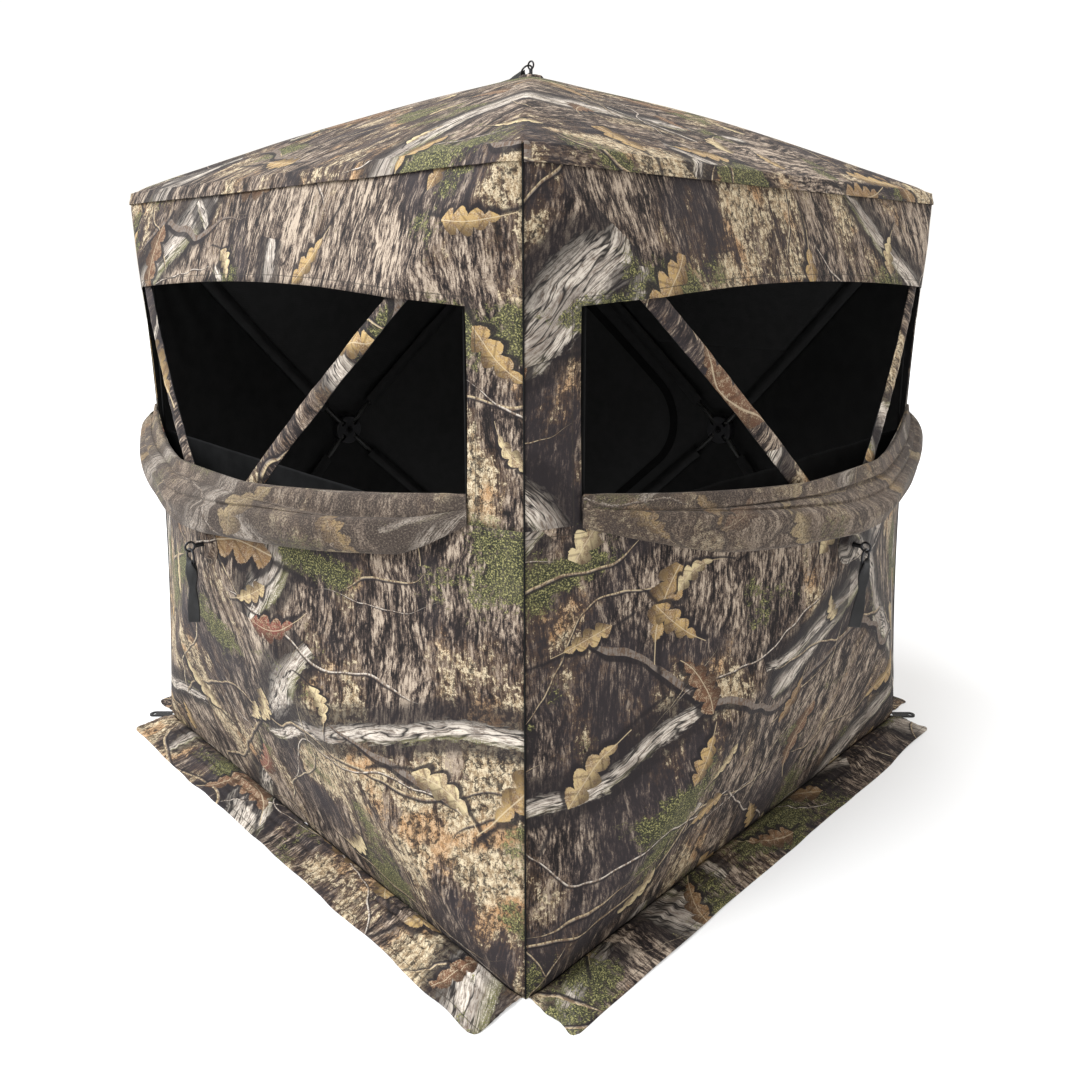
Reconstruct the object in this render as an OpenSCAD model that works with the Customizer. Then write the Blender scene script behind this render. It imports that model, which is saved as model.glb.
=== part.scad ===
// Pop up ground blind: a square fabric cabin held out by four wall faces and a roof.
// Each face has a hub in its middle and four flexible poles from the hub to its corners.
// The origin is the bottom centre of the footprint. The front wall faces -Y, the right wall +X.

/* [Cabin] */
// Width and depth of the footprint at the corners
blind_w = 1468; // [1300:4:1700]
// Height of the eave above the ground
eave_h = 1455; // [1400:5:1560]
// Height of the wall hubs above the ground
hub_h = 720; // [690:5:760]
// How far the fabric at a wall hub stands out from the wall's plane
wall_bulge = 185; // [150:1:220]
// Rise of the roof fabric from the eave to its hub
roof_rise = 275; // [230:1:320]
// Bow of a pole between its hub and its corner
pole_bow = 20; // [12:1:24]
// Inward bow of a corner seam at hub height
seam_bow = 22; // [8:1:26]
// Inward bow of an eave between its corners
eave_bow = 10; // [0:1:14]
// Thickness of the shell fabric
fabric_t = 2; // [1.5:0.25:2.5]

/* [Hubs] */
// Diameter of a hub casting
hub_d = 94; // [90:1:98]
// Thickness of a hub casting
hub_t = 28; // [24:1:32]
// Radius of the circle of pole pins in a hub
pin_circle_r = 32; // [30:0.5:34]
// Diameter of a pole pin
pin_d = 6; // [5:0.5:7]
// Diameter of the clamp cap outside the fabric
cap_d = 62; // [50:1:80]
// Height of the clamp cap
cap_t = 9; // [7:0.5:12]
// Diameter of the eye bolt's shank
bolt_d = 9; // [8:0.5:10]
// Distance from the fabric to the centre of the bolt's eye
eye_reach = 38; // [34:1:46]
// Mean diameter of the bolt's eye
eye_d = 19; // [18:0.5:21]
// Mean diameter of the pull ring
ring_d = 30; // [28:0.5:33]
// Wire diameter of the eye and the pull ring
wire_d = 4.5; // [3.5:0.25:5]

/* [Poles] */
// Diameter of a fibreglass rod
pole_d = 11; // [9:0.5:11.5]
// Outer diameter of the ferrule at the hub end
ferrule_d = 15; // [14:0.5:16]
// Length of the ferrule
ferrule_len = 75; // [60:1:110]
// Diameter of the tip at the corner end
tip_d = 14; // [13:0.5:15]
// Length of the tip
tip_len = 24; // [18:1:30]
// Distance from a corner to the end of a pole, in the wall's plane
tip_inset = 40; // [36:1:48]
// Depth of a pole's end under the fabric
tip_depth = 17; // [16:0.5:20]
// Width of the flat sleeve sewn round a pole
sleeve_w = 40; // [30:1:50]
// Thickness of the sleeve at the rod
sleeve_t = 15; // [14:0.5:16]

/* [Windows] */
// Width of the large windows in the front and right walls
window_w = 1264; // [1240:4:1280]
// Height of the large windows' top edge in the middle
window_top = 1242; // [1225:1:1260]
// Drop of the top edge at the jambs
window_drop = 30; // [10:1:40]
// Height of the sill's middle above the hubs
sill_above = 145; // [138:1:160]
// Rise of the sill at the jambs
sill_rise = 40; // [20:1:50]
// How far the seam between the upper and lower wall panels lies under the sill
seam_under = 15; // [10:1:25]
// Gap between the folded mesh and the hub's cap below it
mesh_gap = 6; // [4:1:20]
// How far the folded mesh hangs below the sill at its ends
mesh_end_drop = 74; // [50:1:90]
// How far the folded mesh reaches past each jamb
mesh_over = 68; // [38:1:72]
// Fullness of the folded mesh
mesh_full = 46; // [25:1:55]
// Distance from a jamb to the track cord of a window cover
track_in = 27; // [25:1:42]
// Diameter of a track cord
track_d = 5; // [4:0.5:6]
// Height of a sliding window cover
cover_h = 400; // [380:1:410]
// Lower edge of the small closed window in the back wall
vent_sill = 1030; // [1010:5:1060]
// Upper edge of the small window
vent_top = 1300; // [1250:5:1330]

/* [Door] */
// Distance from the middle of the back wall to the point of the door
door_reach = 185; // [170:5:220]
// Radius of the door's point
door_round = 200; // [150:5:230]
// Half of the door's height at its hinge line
door_half = 560; // [480:5:590]
// Width of the wall fabric left between the corner seam and the door
door_stile = 46; // [40:1:70]
// Width of the slit between the door and the wall
zip_gap = 2; // [1:0.5:4]
// Width of the zip tape
zip_w = 26; // [18:1:32]

/* [Trim] */
// Height of the binding that covers the eave seam
binding_h = 30; // [20:1:40]
// Thickness of the binding, tape and inner covers
trim_t = 2; // [1.5:0.25:3]
// Width of a ground skirt
skirt_w = 110; // [90:1:130]
// Height of a skirt's fold near the wall
skirt_puff = 24; // [10:1:26]
// Gap between a skirt's end and the corner of the footprint
skirt_notch = 34; // [20:1:60]
// Length of a pull strap
strap_len = 130; // [100:1:150]
// Width of a pull strap where it is bunched in its ring
strap_w = 14; // [12:0.5:16]
// Thickness of the strap webbing
strap_t = 2.5; // [2:0.25:3]
// Length of a stake loop
stake_len = 62; // [50:1:90]
// Diameter of the grommet hole in a stake loop
grommet_d = 12; // [8:0.5:14]

/* [Hidden] */

// Faces in the order of their quarter turns; the roof comes last
front = 0;
right = front + 1;
back = right + 1;
left = back + 1;
roof = left + 1;
side_names = ["front", "right", "back", "left", "roof"];

half_w = blind_w / 2;
up_h = eave_h - hub_h;
sill_h = hub_h + sill_above;
seam_h = sill_h - seam_under;
mesh_drop = sill_above - cap_d / 2 - mesh_gap;
mesh_w = window_w + 2 * mesh_over;
track_w = window_w - 2 * track_in;
seat_gap = 0.3;         // air between a part and the soft part that it seats on
pin_clear = 0.08;       // running clearance round a pole pin
slot_clear = 0.5;       // side clearance of a ferrule in its slot
flat_half = 50;         // half width of the flat fabric clamped at a hub
shank_hole = bolt_d + 3;
rod_fn = 28;
tip_chamfer = 2;        // chamfer at the end of a pole's tip
tongue_w = ferrule_d - 3;   // width of the ferrule's tongue round its pin
tongue_d = ferrule_d - 1;   // height of the tongue
far = 4000;             // longer than anything that a cutter crosses

// A face: half width, reach up, reach down, bulge, then how far the side, top and
// bottom edges bow [in their own plane, out of it], and if the bottom edge is mitred
wall_face = [half_w, up_h, hub_h, wall_bulge, [seam_bow, seam_bow], [0, eave_bow], [0, 0], 0];
roof_face = [half_w, half_w, half_w, roof_rise, [eave_bow, 0], [eave_bow, 0], [eave_bow, 0], 1];

function face_of(i) = i == roof ? roof_face : wall_face;

// Height of the pole line over the face's plane, at r = 0 in the middle and 1 at the edge
function crease(f, r) =
    let (t = min(1, (1 - r) / (1 - flat_half / f[0])))
    f[3] * t + 4 * pole_bow * t * (1 - t);

function edge_bow(f, x, y) = abs(x) / f[0] >= (y > 0 ? y / f[1] : -y / f[2]) ? f[4] : y > 0 ? f[5] : f[6];

function ring_at(f, x, y) = max(abs(x) / f[0], y > 0 ? y / f[1] : -y / f[2]);

function ring_share(f, x, y) =
    let (r = ring_at(f, x, y)) r > 0 ? min(abs(x) / f[0], y > 0 ? y / f[1] : -y / f[2]) / r : 0;

// Share of an edge's bow at ring r, and at share s along that ring; none in the clamped flat
function bow_share(f, r, s) =
    let (flat = flat_half / f[0]) max(0, (r - flat) / (1 - flat)) * (1 - s * s);

// Outer surface of the fabric over the face's plane, at a point of that plane
function fabric_out(f, x, y) =
    let (
        e = edge_bow(f, x, y),
        in_plane = e[0] * bow_share(f, ring_at(f, x, y), ring_share(f, x, y)),
        on_side = abs(x) / f[0] >= (y > 0 ? y / f[1] : -y / f[2]),
        x1 = on_side ? x + sign(x) * in_plane : x,
        y1 = on_side ? y : y + sign(y) * in_plane
    )
    crease(f, ring_at(f, x1, y1)) - e[1] * bow_share(f, ring_at(f, x1, y1), ring_share(f, x1, y1));

// A point of the shell at depth d, at ring r, on side 0..3 of that ring, at s = -1..1 along it
function shell_pt(f, r, side, s, d) =
    let (
        u = [r, -r * s, -r, r * s][side],
        v = [r * s, r, -r * s, -r][side],
        bow = bow_share(f, r, s),
        e = side % 2 == 0 ? f[4] : side == 1 ? f[5] : f[6],
        shift = bow * e[0],
        x = u * (f[0] - d) - (side == 0 ? shift : side == 2 ? -shift : 0),
        y = v * (v > 0 ? f[1] - d : f[2] - d * f[7]) - (side == 1 ? shift : side == 3 ? -shift : 0)
    )
    [x, y, crease(f, r) - bow * e[1] - d];

// The fabric of one whole face between depths d0 and d1, in rings from its bolt hole to its edge
module face_shell(f, d0, d1, rings = 7, steps = 8) {
    hole = shank_hole / 2 / f[0];
    flat = flat_half / f[0];
    radii = concat([hole], [for (k = [0 : rings]) flat + (1 - flat) * k / rings]);
    n = 4 * steps;
    m = len(radii);
    pts = [
        for (d = [d0, d1]) for (r = radii) for (side = [0 : 3]) for (j = [0 : steps - 1])
            shell_pt(f, r, side, -1 + 2 * j / steps, d)
    ];
    function id(layer, k, j) = (layer * m + k) * n + j % n;
    skins = [
        for (layer = [0, 1]) for (k = [0 : m - 2]) for (j = [0 : n - 1])
            let (
                q = [id(layer, k, j), id(layer, k + 1, j), id(layer, k + 1, j + 1), id(layer, k, j + 1)],
                turn = floor(j / (steps / 2)) % 2 == 0,
                t = turn ? [[q[0], q[1], q[2]], [q[0], q[2], q[3]]] : [[q[0], q[1], q[3]], [q[1], q[2], q[3]]]
            )
            for (tri = t) layer == 0 ? [tri[2], tri[1], tri[0]] : tri
    ];
    rims = [
        for (k = [0, m - 1]) for (j = [0 : n - 1])
            let (a = id(0, k, j), b = id(0, k, j + 1), c = id(1, k, j + 1), d = id(1, k, j))
            for (tri = [[a, b, c], [a, c, d]]) k == 0 ? [tri[2], tri[1], tri[0]] : tri
    ];
    polyhedron(pts, concat(skins, rims));
}

// A solid through a row of closed outlines that all have the same number of points
module loft(outlines) {
    n = len(outlines[0]);
    m = len(outlines);
    pts = [for (o = outlines) for (p = o) p];
    sides = [
        for (k = [0 : m - 2]) for (j = [0 : n - 1])
            let (a = k * n + j, b = k * n + (j + 1) % n, c = b + n, d = a + n)
            for (tri = [[a, b, c], [a, c, d]]) tri
    ];
    first = [for (j = [n - 1 : -1 : 0]) j];
    last = [for (j = [0 : n - 1]) (m - 1) * n + j];
    polyhedron(pts, concat(sides, [first, last]));
}

// Puts a face's own frame in place: x along the face, y up it and z out of it
module on_face(i) {
    if (i == roof) {
        translate([0, 0, eave_h]) children();
    } else {
        rotate([0, 0, 90 * i]) translate([0, -half_w, hub_h]) rotate([90, 0, 0]) children();
    }
}

function sum_sq(a, b) = a * a + b * b;

/* Poles: 1 upper right, 2 upper left, 3 lower left, 4 lower right, seen from outside */
function pole_to(f, k) = [(k == 1 || k == 4 ? 1 : -1) * f[0], k <= 2 ? f[1] : -f[2]];
function pole_turn(f, k) = atan2(pole_to(f, k)[1], pole_to(f, k)[0]);
function pole_run(f, k) = norm(pole_to(f, k)) - tip_inset - pin_circle_r;
function pin_out(f) = f[3] - fabric_t - seat_gap - hub_t / 2;
function tip_out(f, k) = crease(f, 1 - tip_inset / norm(pole_to(f, k))) - tip_depth;
function pole_fall(f, k) = pin_out(f) - tip_out(f, k);
function pole_len(f, k) = norm([pole_run(f, k), pole_fall(f, k)]);
function arc_r(c) = sum_sq(c / 2, pole_bow) / (2 * pole_bow);
function arc_half(c) = asin(c / 2 / arc_r(c));

// A pole's own frame: its pin is at the origin and its tip at x = pole_len
module on_pole(i, k) {
    f = face_of(i);
    on_face(i)
        rotate([0, 0, pole_turn(f, k)])
            translate([pin_circle_r, 0, pin_out(f)])
                rotate([0, atan2(pole_fall(f, k), pole_run(f, k)), 0]) children();
}

// Sweeps a flat outline along the arc of a pole of length c, between two shares of that arc
module along_pole(c, from = 0, to = 1) {
    a = arc_half(c);
    translate([c / 2, 0, pole_bow - arc_r(c)])
        rotate([90, 0, 0])
            rotate([0, 0, 90 + a - 2 * a * to])
                rotate_extrude(angle = 2 * a * (to - from), $fn = 720)
                    translate([arc_r(c), 0]) children();
}

// The straight line of a pole at its far end, pointing outwards from x = pole_len
module at_tip(c) {
    translate([c, 0, 0]) rotate([0, arc_half(c), 0]) rotate([0, 90, 0]) children();
}

module pole(i, k) {
    c = pole_len(face_of(i), k);
    color("#20211f") on_pole(i, k) {
        difference() {
            union() {
                rotate([90, 0, 0]) cylinder(d = tongue_d, h = tongue_w, center = true, $fn = rod_fn);
                rotate([0, -arc_half(c), 0]) rotate([0, 90, 0]) translate([0, 0, pin_d])
                    cylinder(d = ferrule_d, h = ferrule_len - pin_d, $fn = rod_fn);
            }
            rotate([90, 0, 0])
                cylinder(d = pin_d + 2 * pin_clear, h = 2 * ferrule_d, center = true, $fn = rod_fn);
        }
        along_pole(c, ferrule_len / 2 / c, 1 - tip_len / 2 / c) circle(d = pole_d, $fn = rod_fn);
        at_tip(c) translate([0, 0, -tip_len]) rotate_extrude($fn = rod_fn)
            polygon([
                [0, 0], [tip_d / 2, 0], [tip_d / 2, tip_len - tip_chamfer],
                [tip_d / 2 - tip_chamfer, tip_len], [0, tip_len]
            ]);
    }
}

// Hub casting: a chamfered disc with an open slot and a pin bore for each pole
module hub(i) {
    f = face_of(i);
    edge = 3;
    slot_w = ferrule_d + 2 * slot_clear;
    color("#1b1c1d") on_face(i) translate([0, 0, f[3] - fabric_t - seat_gap - hub_t])
        difference() {
            rotate_extrude($fn = 72)
                polygon([
                    [bolt_d / 2, 0], [hub_d / 2 - edge, 0], [hub_d / 2, edge],
                    [hub_d / 2, hub_t - edge], [hub_d / 2 - edge, hub_t], [bolt_d / 2, hub_t]
                ]);
            for (k = [1 : 4]) rotate([0, 0, pole_turn(f, k)]) {
                translate([pin_circle_r - tongue_d / 2 - slot_clear, -slot_w / 2, -1])
                    cube([hub_d, slot_w, hub_t + 2]);
                translate([pin_circle_r, 0, hub_t / 2]) rotate([90, 0, 0])
                    cylinder(d = pin_d, h = slot_w + 2 * pin_seat, center = true, $fn = 24);
            }
        }
}

pin_seat = 5;           // length of a pin in each cheek of its slot

// Eye bolt with its cap outside the fabric, its nut inside the hub, and the four pole pins
module hub_hardware(i) {
    f = face_of(i);
    out = f[3] + seat_gap;
    inner = f[3] - fabric_t - seat_gap - hub_t;
    washer_t = 2;
    nut_t = 8;
    slot_w = ferrule_d + 2 * slot_clear;
    color("#2a2b2d") on_face(i) {
        translate([0, 0, out]) rotate_extrude($fn = 64)
            polygon([
                [0, 0], [cap_d / 2, 0], [cap_d / 2, cap_t * 0.3], [cap_d * 0.42, cap_t * 0.62],
                [cap_d * 0.22, cap_t], [0, cap_t]
            ]);
        translate([0, 0, inner - washer_t - nut_t - 4])
            cylinder(d = bolt_d, h = f[3] + eye_reach - eye_d / 2 - inner + washer_t + nut_t + 4, $fn = 32);
        translate([0, 0, inner - washer_t]) cylinder(d = 2.6 * bolt_d, h = washer_t, $fn = 40);
        translate([0, 0, inner - washer_t - nut_t]) cylinder(d = 1.9 * bolt_d, h = nut_t, $fn = 6);
        translate([0, 0, f[3] + eye_reach]) rotate([0, 90, ring_turn(i)])
            rotate_extrude($fn = 48) translate([eye_d / 2, 0]) circle(d = wire_d, $fn = 20);
    }
    color("#9a9c9f") on_face(i)
        for (k = [1 : 4]) rotate([0, 0, pole_turn(f, k)])
            translate([pin_circle_r, 0, pin_out(f)]) rotate([90, 0, 0])
                cylinder(d = pin_d, h = slot_w + 2 * pin_seat, center = true, $fn = 24);
}

// A ring hangs from its eye down a wall. On the roof it leans to the left, and its strap
// lies along the fabric.
ring_air = 0.5;         // air between the ring's wire and the eye
ring_lean = 45;         // lean of the roof's ring below the level
strap_lean = 10;        // lean of the roof's strap below the level

function ring_turn(i) = i == roof ? -90 : 0;

// The ring's pivot, where its wire passes through the eye; the ring goes towards -y
module at_ring(i) {
    f = face_of(i);
    on_face(i) translate([0, 0, f[3] + eye_reach])
        rotate([0, 0, ring_turn(i)]) translate([0, -(eye_d / 2 - wire_d - ring_air), 0])
            rotate([i == roof ? ring_lean : 0, 0, 0]) children();
}

module ring(i) {
    color("#26272a") at_ring(i) translate([0, -ring_d / 2, 0])
        rotate_extrude($fn = 56) translate([ring_d / 2, 0]) circle(d = wire_d, $fn = 20);
}

// Pull strap: one closed loop of webbing round the ring's far side
module strap(i) {
    ring_rise = ring_d / 2 - sqrt(pow(ring_d / 2, 2) - pow(strap_w / 2, 2));
    bend_r = wire_d / 2 + strap_t + ring_rise + ring_air;
    color("#17181a") at_ring(i) translate([0, -ring_d, 0]) rotate([i == roof ? strap_lean - ring_lean : 0, 0, 0])
        rotate([90, 0, 90]) linear_extrude(strap_w, center = true) difference() {
            strap_outline(bend_r);
            strap_outline(bend_r - strap_t);
        }
}

module strap_outline(r) {
    circle(r, $fn = 40);
    translate([-strap_len + wire_d, 0]) circle(r, $fn = 40);
    translate([-strap_len + wire_d, -r]) square([strap_len - wire_d, 2 * r]);
}

/* Fabric panels of the walls */

function window_top_at(x) = window_top - window_drop * pow(x / (window_w / 2), 2) - hub_h;
function sill_at(x) = sill_h + sill_rise * pow(x / (window_w / 2), 2) - hub_h;
sill_steps = 20;
sill_xs = [for (k = [0 : sill_steps]) window_w * (k / sill_steps - 0.5)];

// Outline of a large window in the wall's own frame
module window_outline() {
    polygon(concat(
        [for (x = sill_xs) [x, sill_at(x)]],
        [for (k = [sill_steps : -1 : 0]) [sill_xs[k], window_top_at(sill_xs[k])]]
    ));
}

module through_face() {
    translate([0, 0, -half_w / 2]) linear_extrude(half_w * 1.5) children();
}

// The area of the lower panel: below the seam, and up to the sill between the jambs
module lower_area() {
    polygon(concat(
        [[-far / 2, -far], [far / 2, -far], [far / 2, seam_h - hub_h], [window_w / 2, seam_h - hub_h]],
        [for (k = [sill_steps : -1 : 0]) [sill_xs[k], sill_at(sill_xs[k])]],
        [[-window_w / 2, seam_h - hub_h], [-far / 2, seam_h - hub_h]]
    ));
}

module wall_upper(i) {
    color("#8c7f66") on_face(i) difference() {
        face_shell(wall_face, 0, fabric_t);
        through_face() window_outline();
        through_face() lower_area();
    }
}

module wall_lower(i) {
    color("#84775f") on_face(i) intersection() {
        face_shell(wall_face, 0, fabric_t);
        through_face() lower_area();
    }
}

// Closed D of the door in the back wall's frame: a rounded point towards the hub and a
// straight hinge line beside the corner. The wall is seen from outside, so the far left
// corner lies at +x here.
module door_outline(grow = 0) {
    hinge_x = half_w - seam_bow - door_stile;
    offset(delta = grow) hull() {
        translate([door_reach + door_round, 0]) circle(door_round, $fn = 64);
        translate([hinge_x - 1, -door_half]) square([1, 2 * door_half]);
    }
}

module vent_outline(grow = 0) {
    lo = vent_sill - hub_h;
    hi = vent_top - hub_h;
    side = 60;
    offset(delta = grow) polygon([[side - lo, lo], [lo - side, lo], [hi - side, hi], [side - hi, hi]]);
}

module back_wall() {
    color("#8c7f66") on_face(back) difference() {
        face_shell(wall_face, 0, fabric_t);
        through_face() door_outline();
        through_face() vent_outline();
    }
}

module door_panel() {
    color("#857860") on_face(back) intersection() {
        face_shell(wall_face, 0, fabric_t);
        through_face() door_outline(-zip_gap);
    }
}

// Zip tape behind the slit, along the curved edge of the door
module door_zip() {
    hinge_x = half_w - seam_bow - door_stile;
    color("#18181a") on_face(back) intersection() {
        face_shell(wall_face, fabric_t + seat_gap, fabric_t + seat_gap + trim_t);
        through_face() intersection() {
            difference() {
                door_outline(zip_w / 2);
                door_outline(-zip_w / 2);
            }
            translate([-far, -far]) square([far + hinge_x - zip_w, 2 * far]);
        }
    }
}

module back_window_cover() {
    color("#1a1a1c") on_face(back) intersection() {
        face_shell(wall_face, fabric_t + seat_gap, fabric_t + seat_gap + trim_t);
        through_face() vent_outline(22);
    }
}

module left_wall() {
    color("#8c7f66") on_face(left) face_shell(wall_face, 0, fabric_t);
}

module roof_panel() {
    color("#8f8268") on_face(roof) face_shell(roof_face, 0, fabric_t);
}

// Binding over the eave seam, a little proud of the walls, in one closed ring. At each
// height it runs along the wall's top facet and then back to the corner seam.
module eave_binding() {
    steps = 8;
    f = wall_face;
    function turn(p, a) = [p[0] * cos(a) - p[1] * sin(a), p[0] * sin(a) + p[1] * cos(a), p[2]];
    function along(v, s, more) =
        let (x = s * min(v * half_w, half_w - 2 * seat_gap)) [x, -half_w - fabric_out(f, x, v * up_h) - more, hub_h + v * up_h];
    function at_corner(v, more) =
        let (c = half_w - seam_bow * bow_share(f, 1, v) + more) [c, -c, hub_h + v * up_h];
    low = (up_h - binding_h) / up_h;
    section = [[low, 0], [low, trim_t], [1, trim_t], [1, 0]];
    outlines = [
        for (i = [0 : 3]) for (j = [0 : steps + 1])
            [for (q = section) turn(
                j > steps ? at_corner(q[0], seat_gap + q[1]) : along(q[0], 2 * j / steps - 1, seat_gap + q[1]),
                90 * i)]
    ];
    n = len(section);
    m = len(outlines);
    faces = [
        for (k = [0 : m - 1]) for (j = [0 : n - 1])
            let (a = k * n + j, b = k * n + (j + 1) % n, c = (b + n) % (n * m), d = (a + n) % (n * m))
            for (tri = [[a, b, c], [a, c, d]]) tri
    ];
    color("#7d7058") polyhedron([for (o = outlines) for (p = o) p], faces);
}

// Flat tubes of fabric round the poles of the front and right windows and all other faces
module pole_sleeves() {
    lens_r = sum_sq(sleeve_w / 2, sleeve_t / 2) / sleeve_t;
    color("#8a7d63") for (i = [front : roof]) for (k = [1 : 4]) {
        c = pole_len(face_of(i), k);
        on_pole(i, k) along_pole(c, (ferrule_len + 15) / c, 1 - (tip_len + 32) / c)
            difference() {
                intersection() {
                    translate([lens_r - sleeve_t / 2, 0]) circle(lens_r, $fn = 96);
                    translate([sleeve_t / 2 - lens_r, 0]) circle(lens_r, $fn = 96);
                }
                circle(d = pole_d + 2 * seat_gap, $fn = rod_fn);
            }
    }
}

// Camouflage mesh folded down outside a sill, with a lip that wraps over the sill's edge
module sill_mesh(i) {
    lip = 3;
    lip_in = 1;
    back_air = 4.5;
    jamb = window_w / 2;
    ends = [for (k = [1 : 4]) jamb + (mesh_w / 2 - jamb) * k / 4];
    xs = concat(
        [for (k = [3 : -1 : 0]) -ends[k]], [1 - jamb, 5 - jamb],
        [for (k = [1 : sill_steps - 1]) sill_xs[k]], [jamb - 5, jamb - 1], ends
    );
    back_rows = [0.25, 0.5, 0.75, 1];
    f = wall_face;
    function drop_at(x) = mesh_drop + (mesh_end_drop - mesh_drop) * pow(abs(x) / (mesh_w / 2), 2);
    function outline(x) =
        let (
            edge = sqrt(max(0.04, 1 - pow(abs(x) / (mesh_w / 2), 8))),
            top = sill_at(min(abs(x), jamb)) + seat_gap,
            low = top - drop_at(x),
            o = fabric_out(f, x, top),
            lip_out = o + (abs(x) > jamb - 3 ? seat_gap : -fabric_t - lip_in),
            mid_out = fabric_out(f, x, (top + low) / 2) + back_air,
            low_out = fabric_out(f, x, low) + back_air,
            full = mesh_full * edge
        )
        concat(
            [[x, top, lip_out], [x, top, o + back_air]],
            [for (q = back_rows) let (y = top + (low - top) * q) [x, y, fabric_out(f, x, y) + back_air]],
            [
                [x, low - 1, low_out + full * 0.55], [x, low + 18, low_out + full],
                [x, (top + low) / 2, mid_out + full * 0.8], [x, top - 12, o + back_air + full * 0.35],
                [x, top + lip, o + back_air], [x, top + lip, lip_out]
            ]
        );
    color("#6f6a5c") on_face(i) loft([for (x = xs) outline(x)]);
}

// One loose flap of fabric on the ground along each wall
module ground_skirts() {
    cols = 22;
    rows = 5;
    hem_t = 3;
    half = half_w - skirt_notch;
    function puff(x, b) =
        hem_t + skirt_puff * (0.55 + 0.3 * sin(x * 0.9) + 0.15 * sin(x * 2.3 + 40))
            * sin(180 * pow(b, 0.75)) * (1 - 0.35 * b);
    module skirt() {
        loft([
            for (c = [0 : cols])
                let (
                    x = 2 * half * (c / cols - 0.5),
                    reach = skirt_w + 5 * sin(x * 0.55 + 20),
                    root = half_w + seat_gap + fabric_out(wall_face, x, hem_t - hub_h) + 0.5
                )
                concat(
                    [[x, -half_w - seat_gap, 0]],
                    [for (b = [0 : rows]) let (q = b / rows) [x, -root - (reach + half_w - root) * q, puff(x, q)]],
                    [[x, -half_w - reach, 0]]
                )
        ]);
    }
    color("#7f735b") for (i = [front : left]) rotate([0, 0, 90 * i]) skirt();
}

// Moulded corner joints: three sockets at each eave corner and two at each ground corner
module corner_joints() {
    core_d = 37;
    core_h = 42;
    core_in = 32;
    edge = 4;
    module core(i, z) {
        rotate([0, 0, 90 * i]) translate([half_w - core_in, core_in - half_w, z - core_h / 2])
            rotate_extrude($fn = 48)
                polygon([
                    [0, 0], [core_d / 2 - edge, 0], [core_d / 2, edge],
                    [core_d / 2, core_h - edge], [core_d / 2 - edge, core_h], [0, core_h]
                ]);
    }
    socket_d = tip_d + 7;
    socket_len = tip_len + 6;
    module socket(i, k, bore) {
        c = pole_len(face_of(i), k);
        on_pole(i, k) at_tip(c)
            if (bore) translate([0, 0, -far / 8]) cylinder(d = tip_d + 2 * seat_gap, h = far / 8 + seat_gap, $fn = rod_fn);
            else translate([0, 0, -socket_len + 5]) cylinder(d = socket_d, h = socket_len, $fn = 32);
    }
    color("#161718") for (i = [front : left]) {
        next = (i + 1) % 4;
        difference() {
            union() {
                core(i, eave_h - core_in + 4);
                socket(i, 1, false);
                socket(next, 2, false);
                socket(roof, roof_pole(i), false);
            }
            socket(i, 1, true);
            socket(next, 2, true);
            socket(roof, roof_pole(i), true);
        }
        difference() {
            union() {
                core(i, core_in - 5);
                socket(i, 4, false);
                socket(next, 3, false);
            }
            socket(i, 4, true);
            socket(next, 3, true);
        }
    }
}

// The roof pole that ends over the corner between wall i and the next wall
function roof_pole(i) = [4, 1, 2, 3][i];

// Upright cords inside each large window, on tabs sewn to the wall
module window_tracks() {
    low = sill_h - cover_h - 30 - hub_h;
    high = window_top + 22 - hub_h;
    tab_d = 12;
    color("#1c1c1e") for (i = [front, right]) on_face(i) for (s = [-1, 1]) translate([s * track_w / 2, 0, 0]) {
        translate([0, low + 1, track_out]) rotate([-90, 0, 0]) cylinder(d = track_d, h = high - low - 2, $fn = 20);
        for (y = [low + tab_d / 2, high - tab_d / 2]) {
            x = track_w / 2 + tab_d / 2;
            nearest = min(fabric_out(wall_face, x, y - tab_d / 2), fabric_out(wall_face, x, y + tab_d / 2));
            root = track_out - track_d / 2 - 1;
            translate([0, y, root])
                cylinder(d = tab_d, h = nearest - fabric_t - 2 * seat_gap - root, $fn = 24);
        }
    }
}

track_out = 8;          // how far the track cords stand out from the wall's plane

// Sliding inner cover of a large window, lowered; its side hems run on the track cords
module window_cover(i) {
    top = sill_h - 10 - hub_h;
    hem_d = track_d + 5;
    hem_bore = track_d + 0.6;
    color("#19191b") on_face(i) translate([0, top - cover_h, track_out]) difference() {
        union() {
            translate([-track_w / 2, 0, -trim_t / 2]) cube([track_w, cover_h, trim_t]);
            for (s = [-1, 1]) translate([s * track_w / 2, 0, 0]) rotate([-90, 0, 0])
                cylinder(d = hem_d, h = cover_h, $fn = 28);
        }
        for (s = [-1, 1]) translate([s * track_w / 2, -1, 0]) rotate([-90, 0, 0])
            cylinder(d = hem_bore, h = cover_h + 2, $fn = 28);
    }
}

// Flat loops with a grommet at the corners of the footprint
module stake_loops() {
    color("#151617") for (a = [-135, 45, 135]) rotate([0, 0, a])
        translate([half_w * sqrt(2) + seat_gap, 0, 0]) difference() {
            union() {
                translate([0, -stake_half, 0]) cube([stake_len - stake_half, 2 * stake_half, stake_t]);
                translate([stake_len - stake_half, 0, 0]) cylinder(r = stake_half, h = stake_t, $fn = 36);
            }
            translate([stake_len - stake_half, 0, -1]) cylinder(d = grommet_d, h = stake_t + 2, $fn = 32);
        }
}

stake_half = 13;        // half width of a stake loop
stake_t = 4;            // thickness of a stake loop

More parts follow.
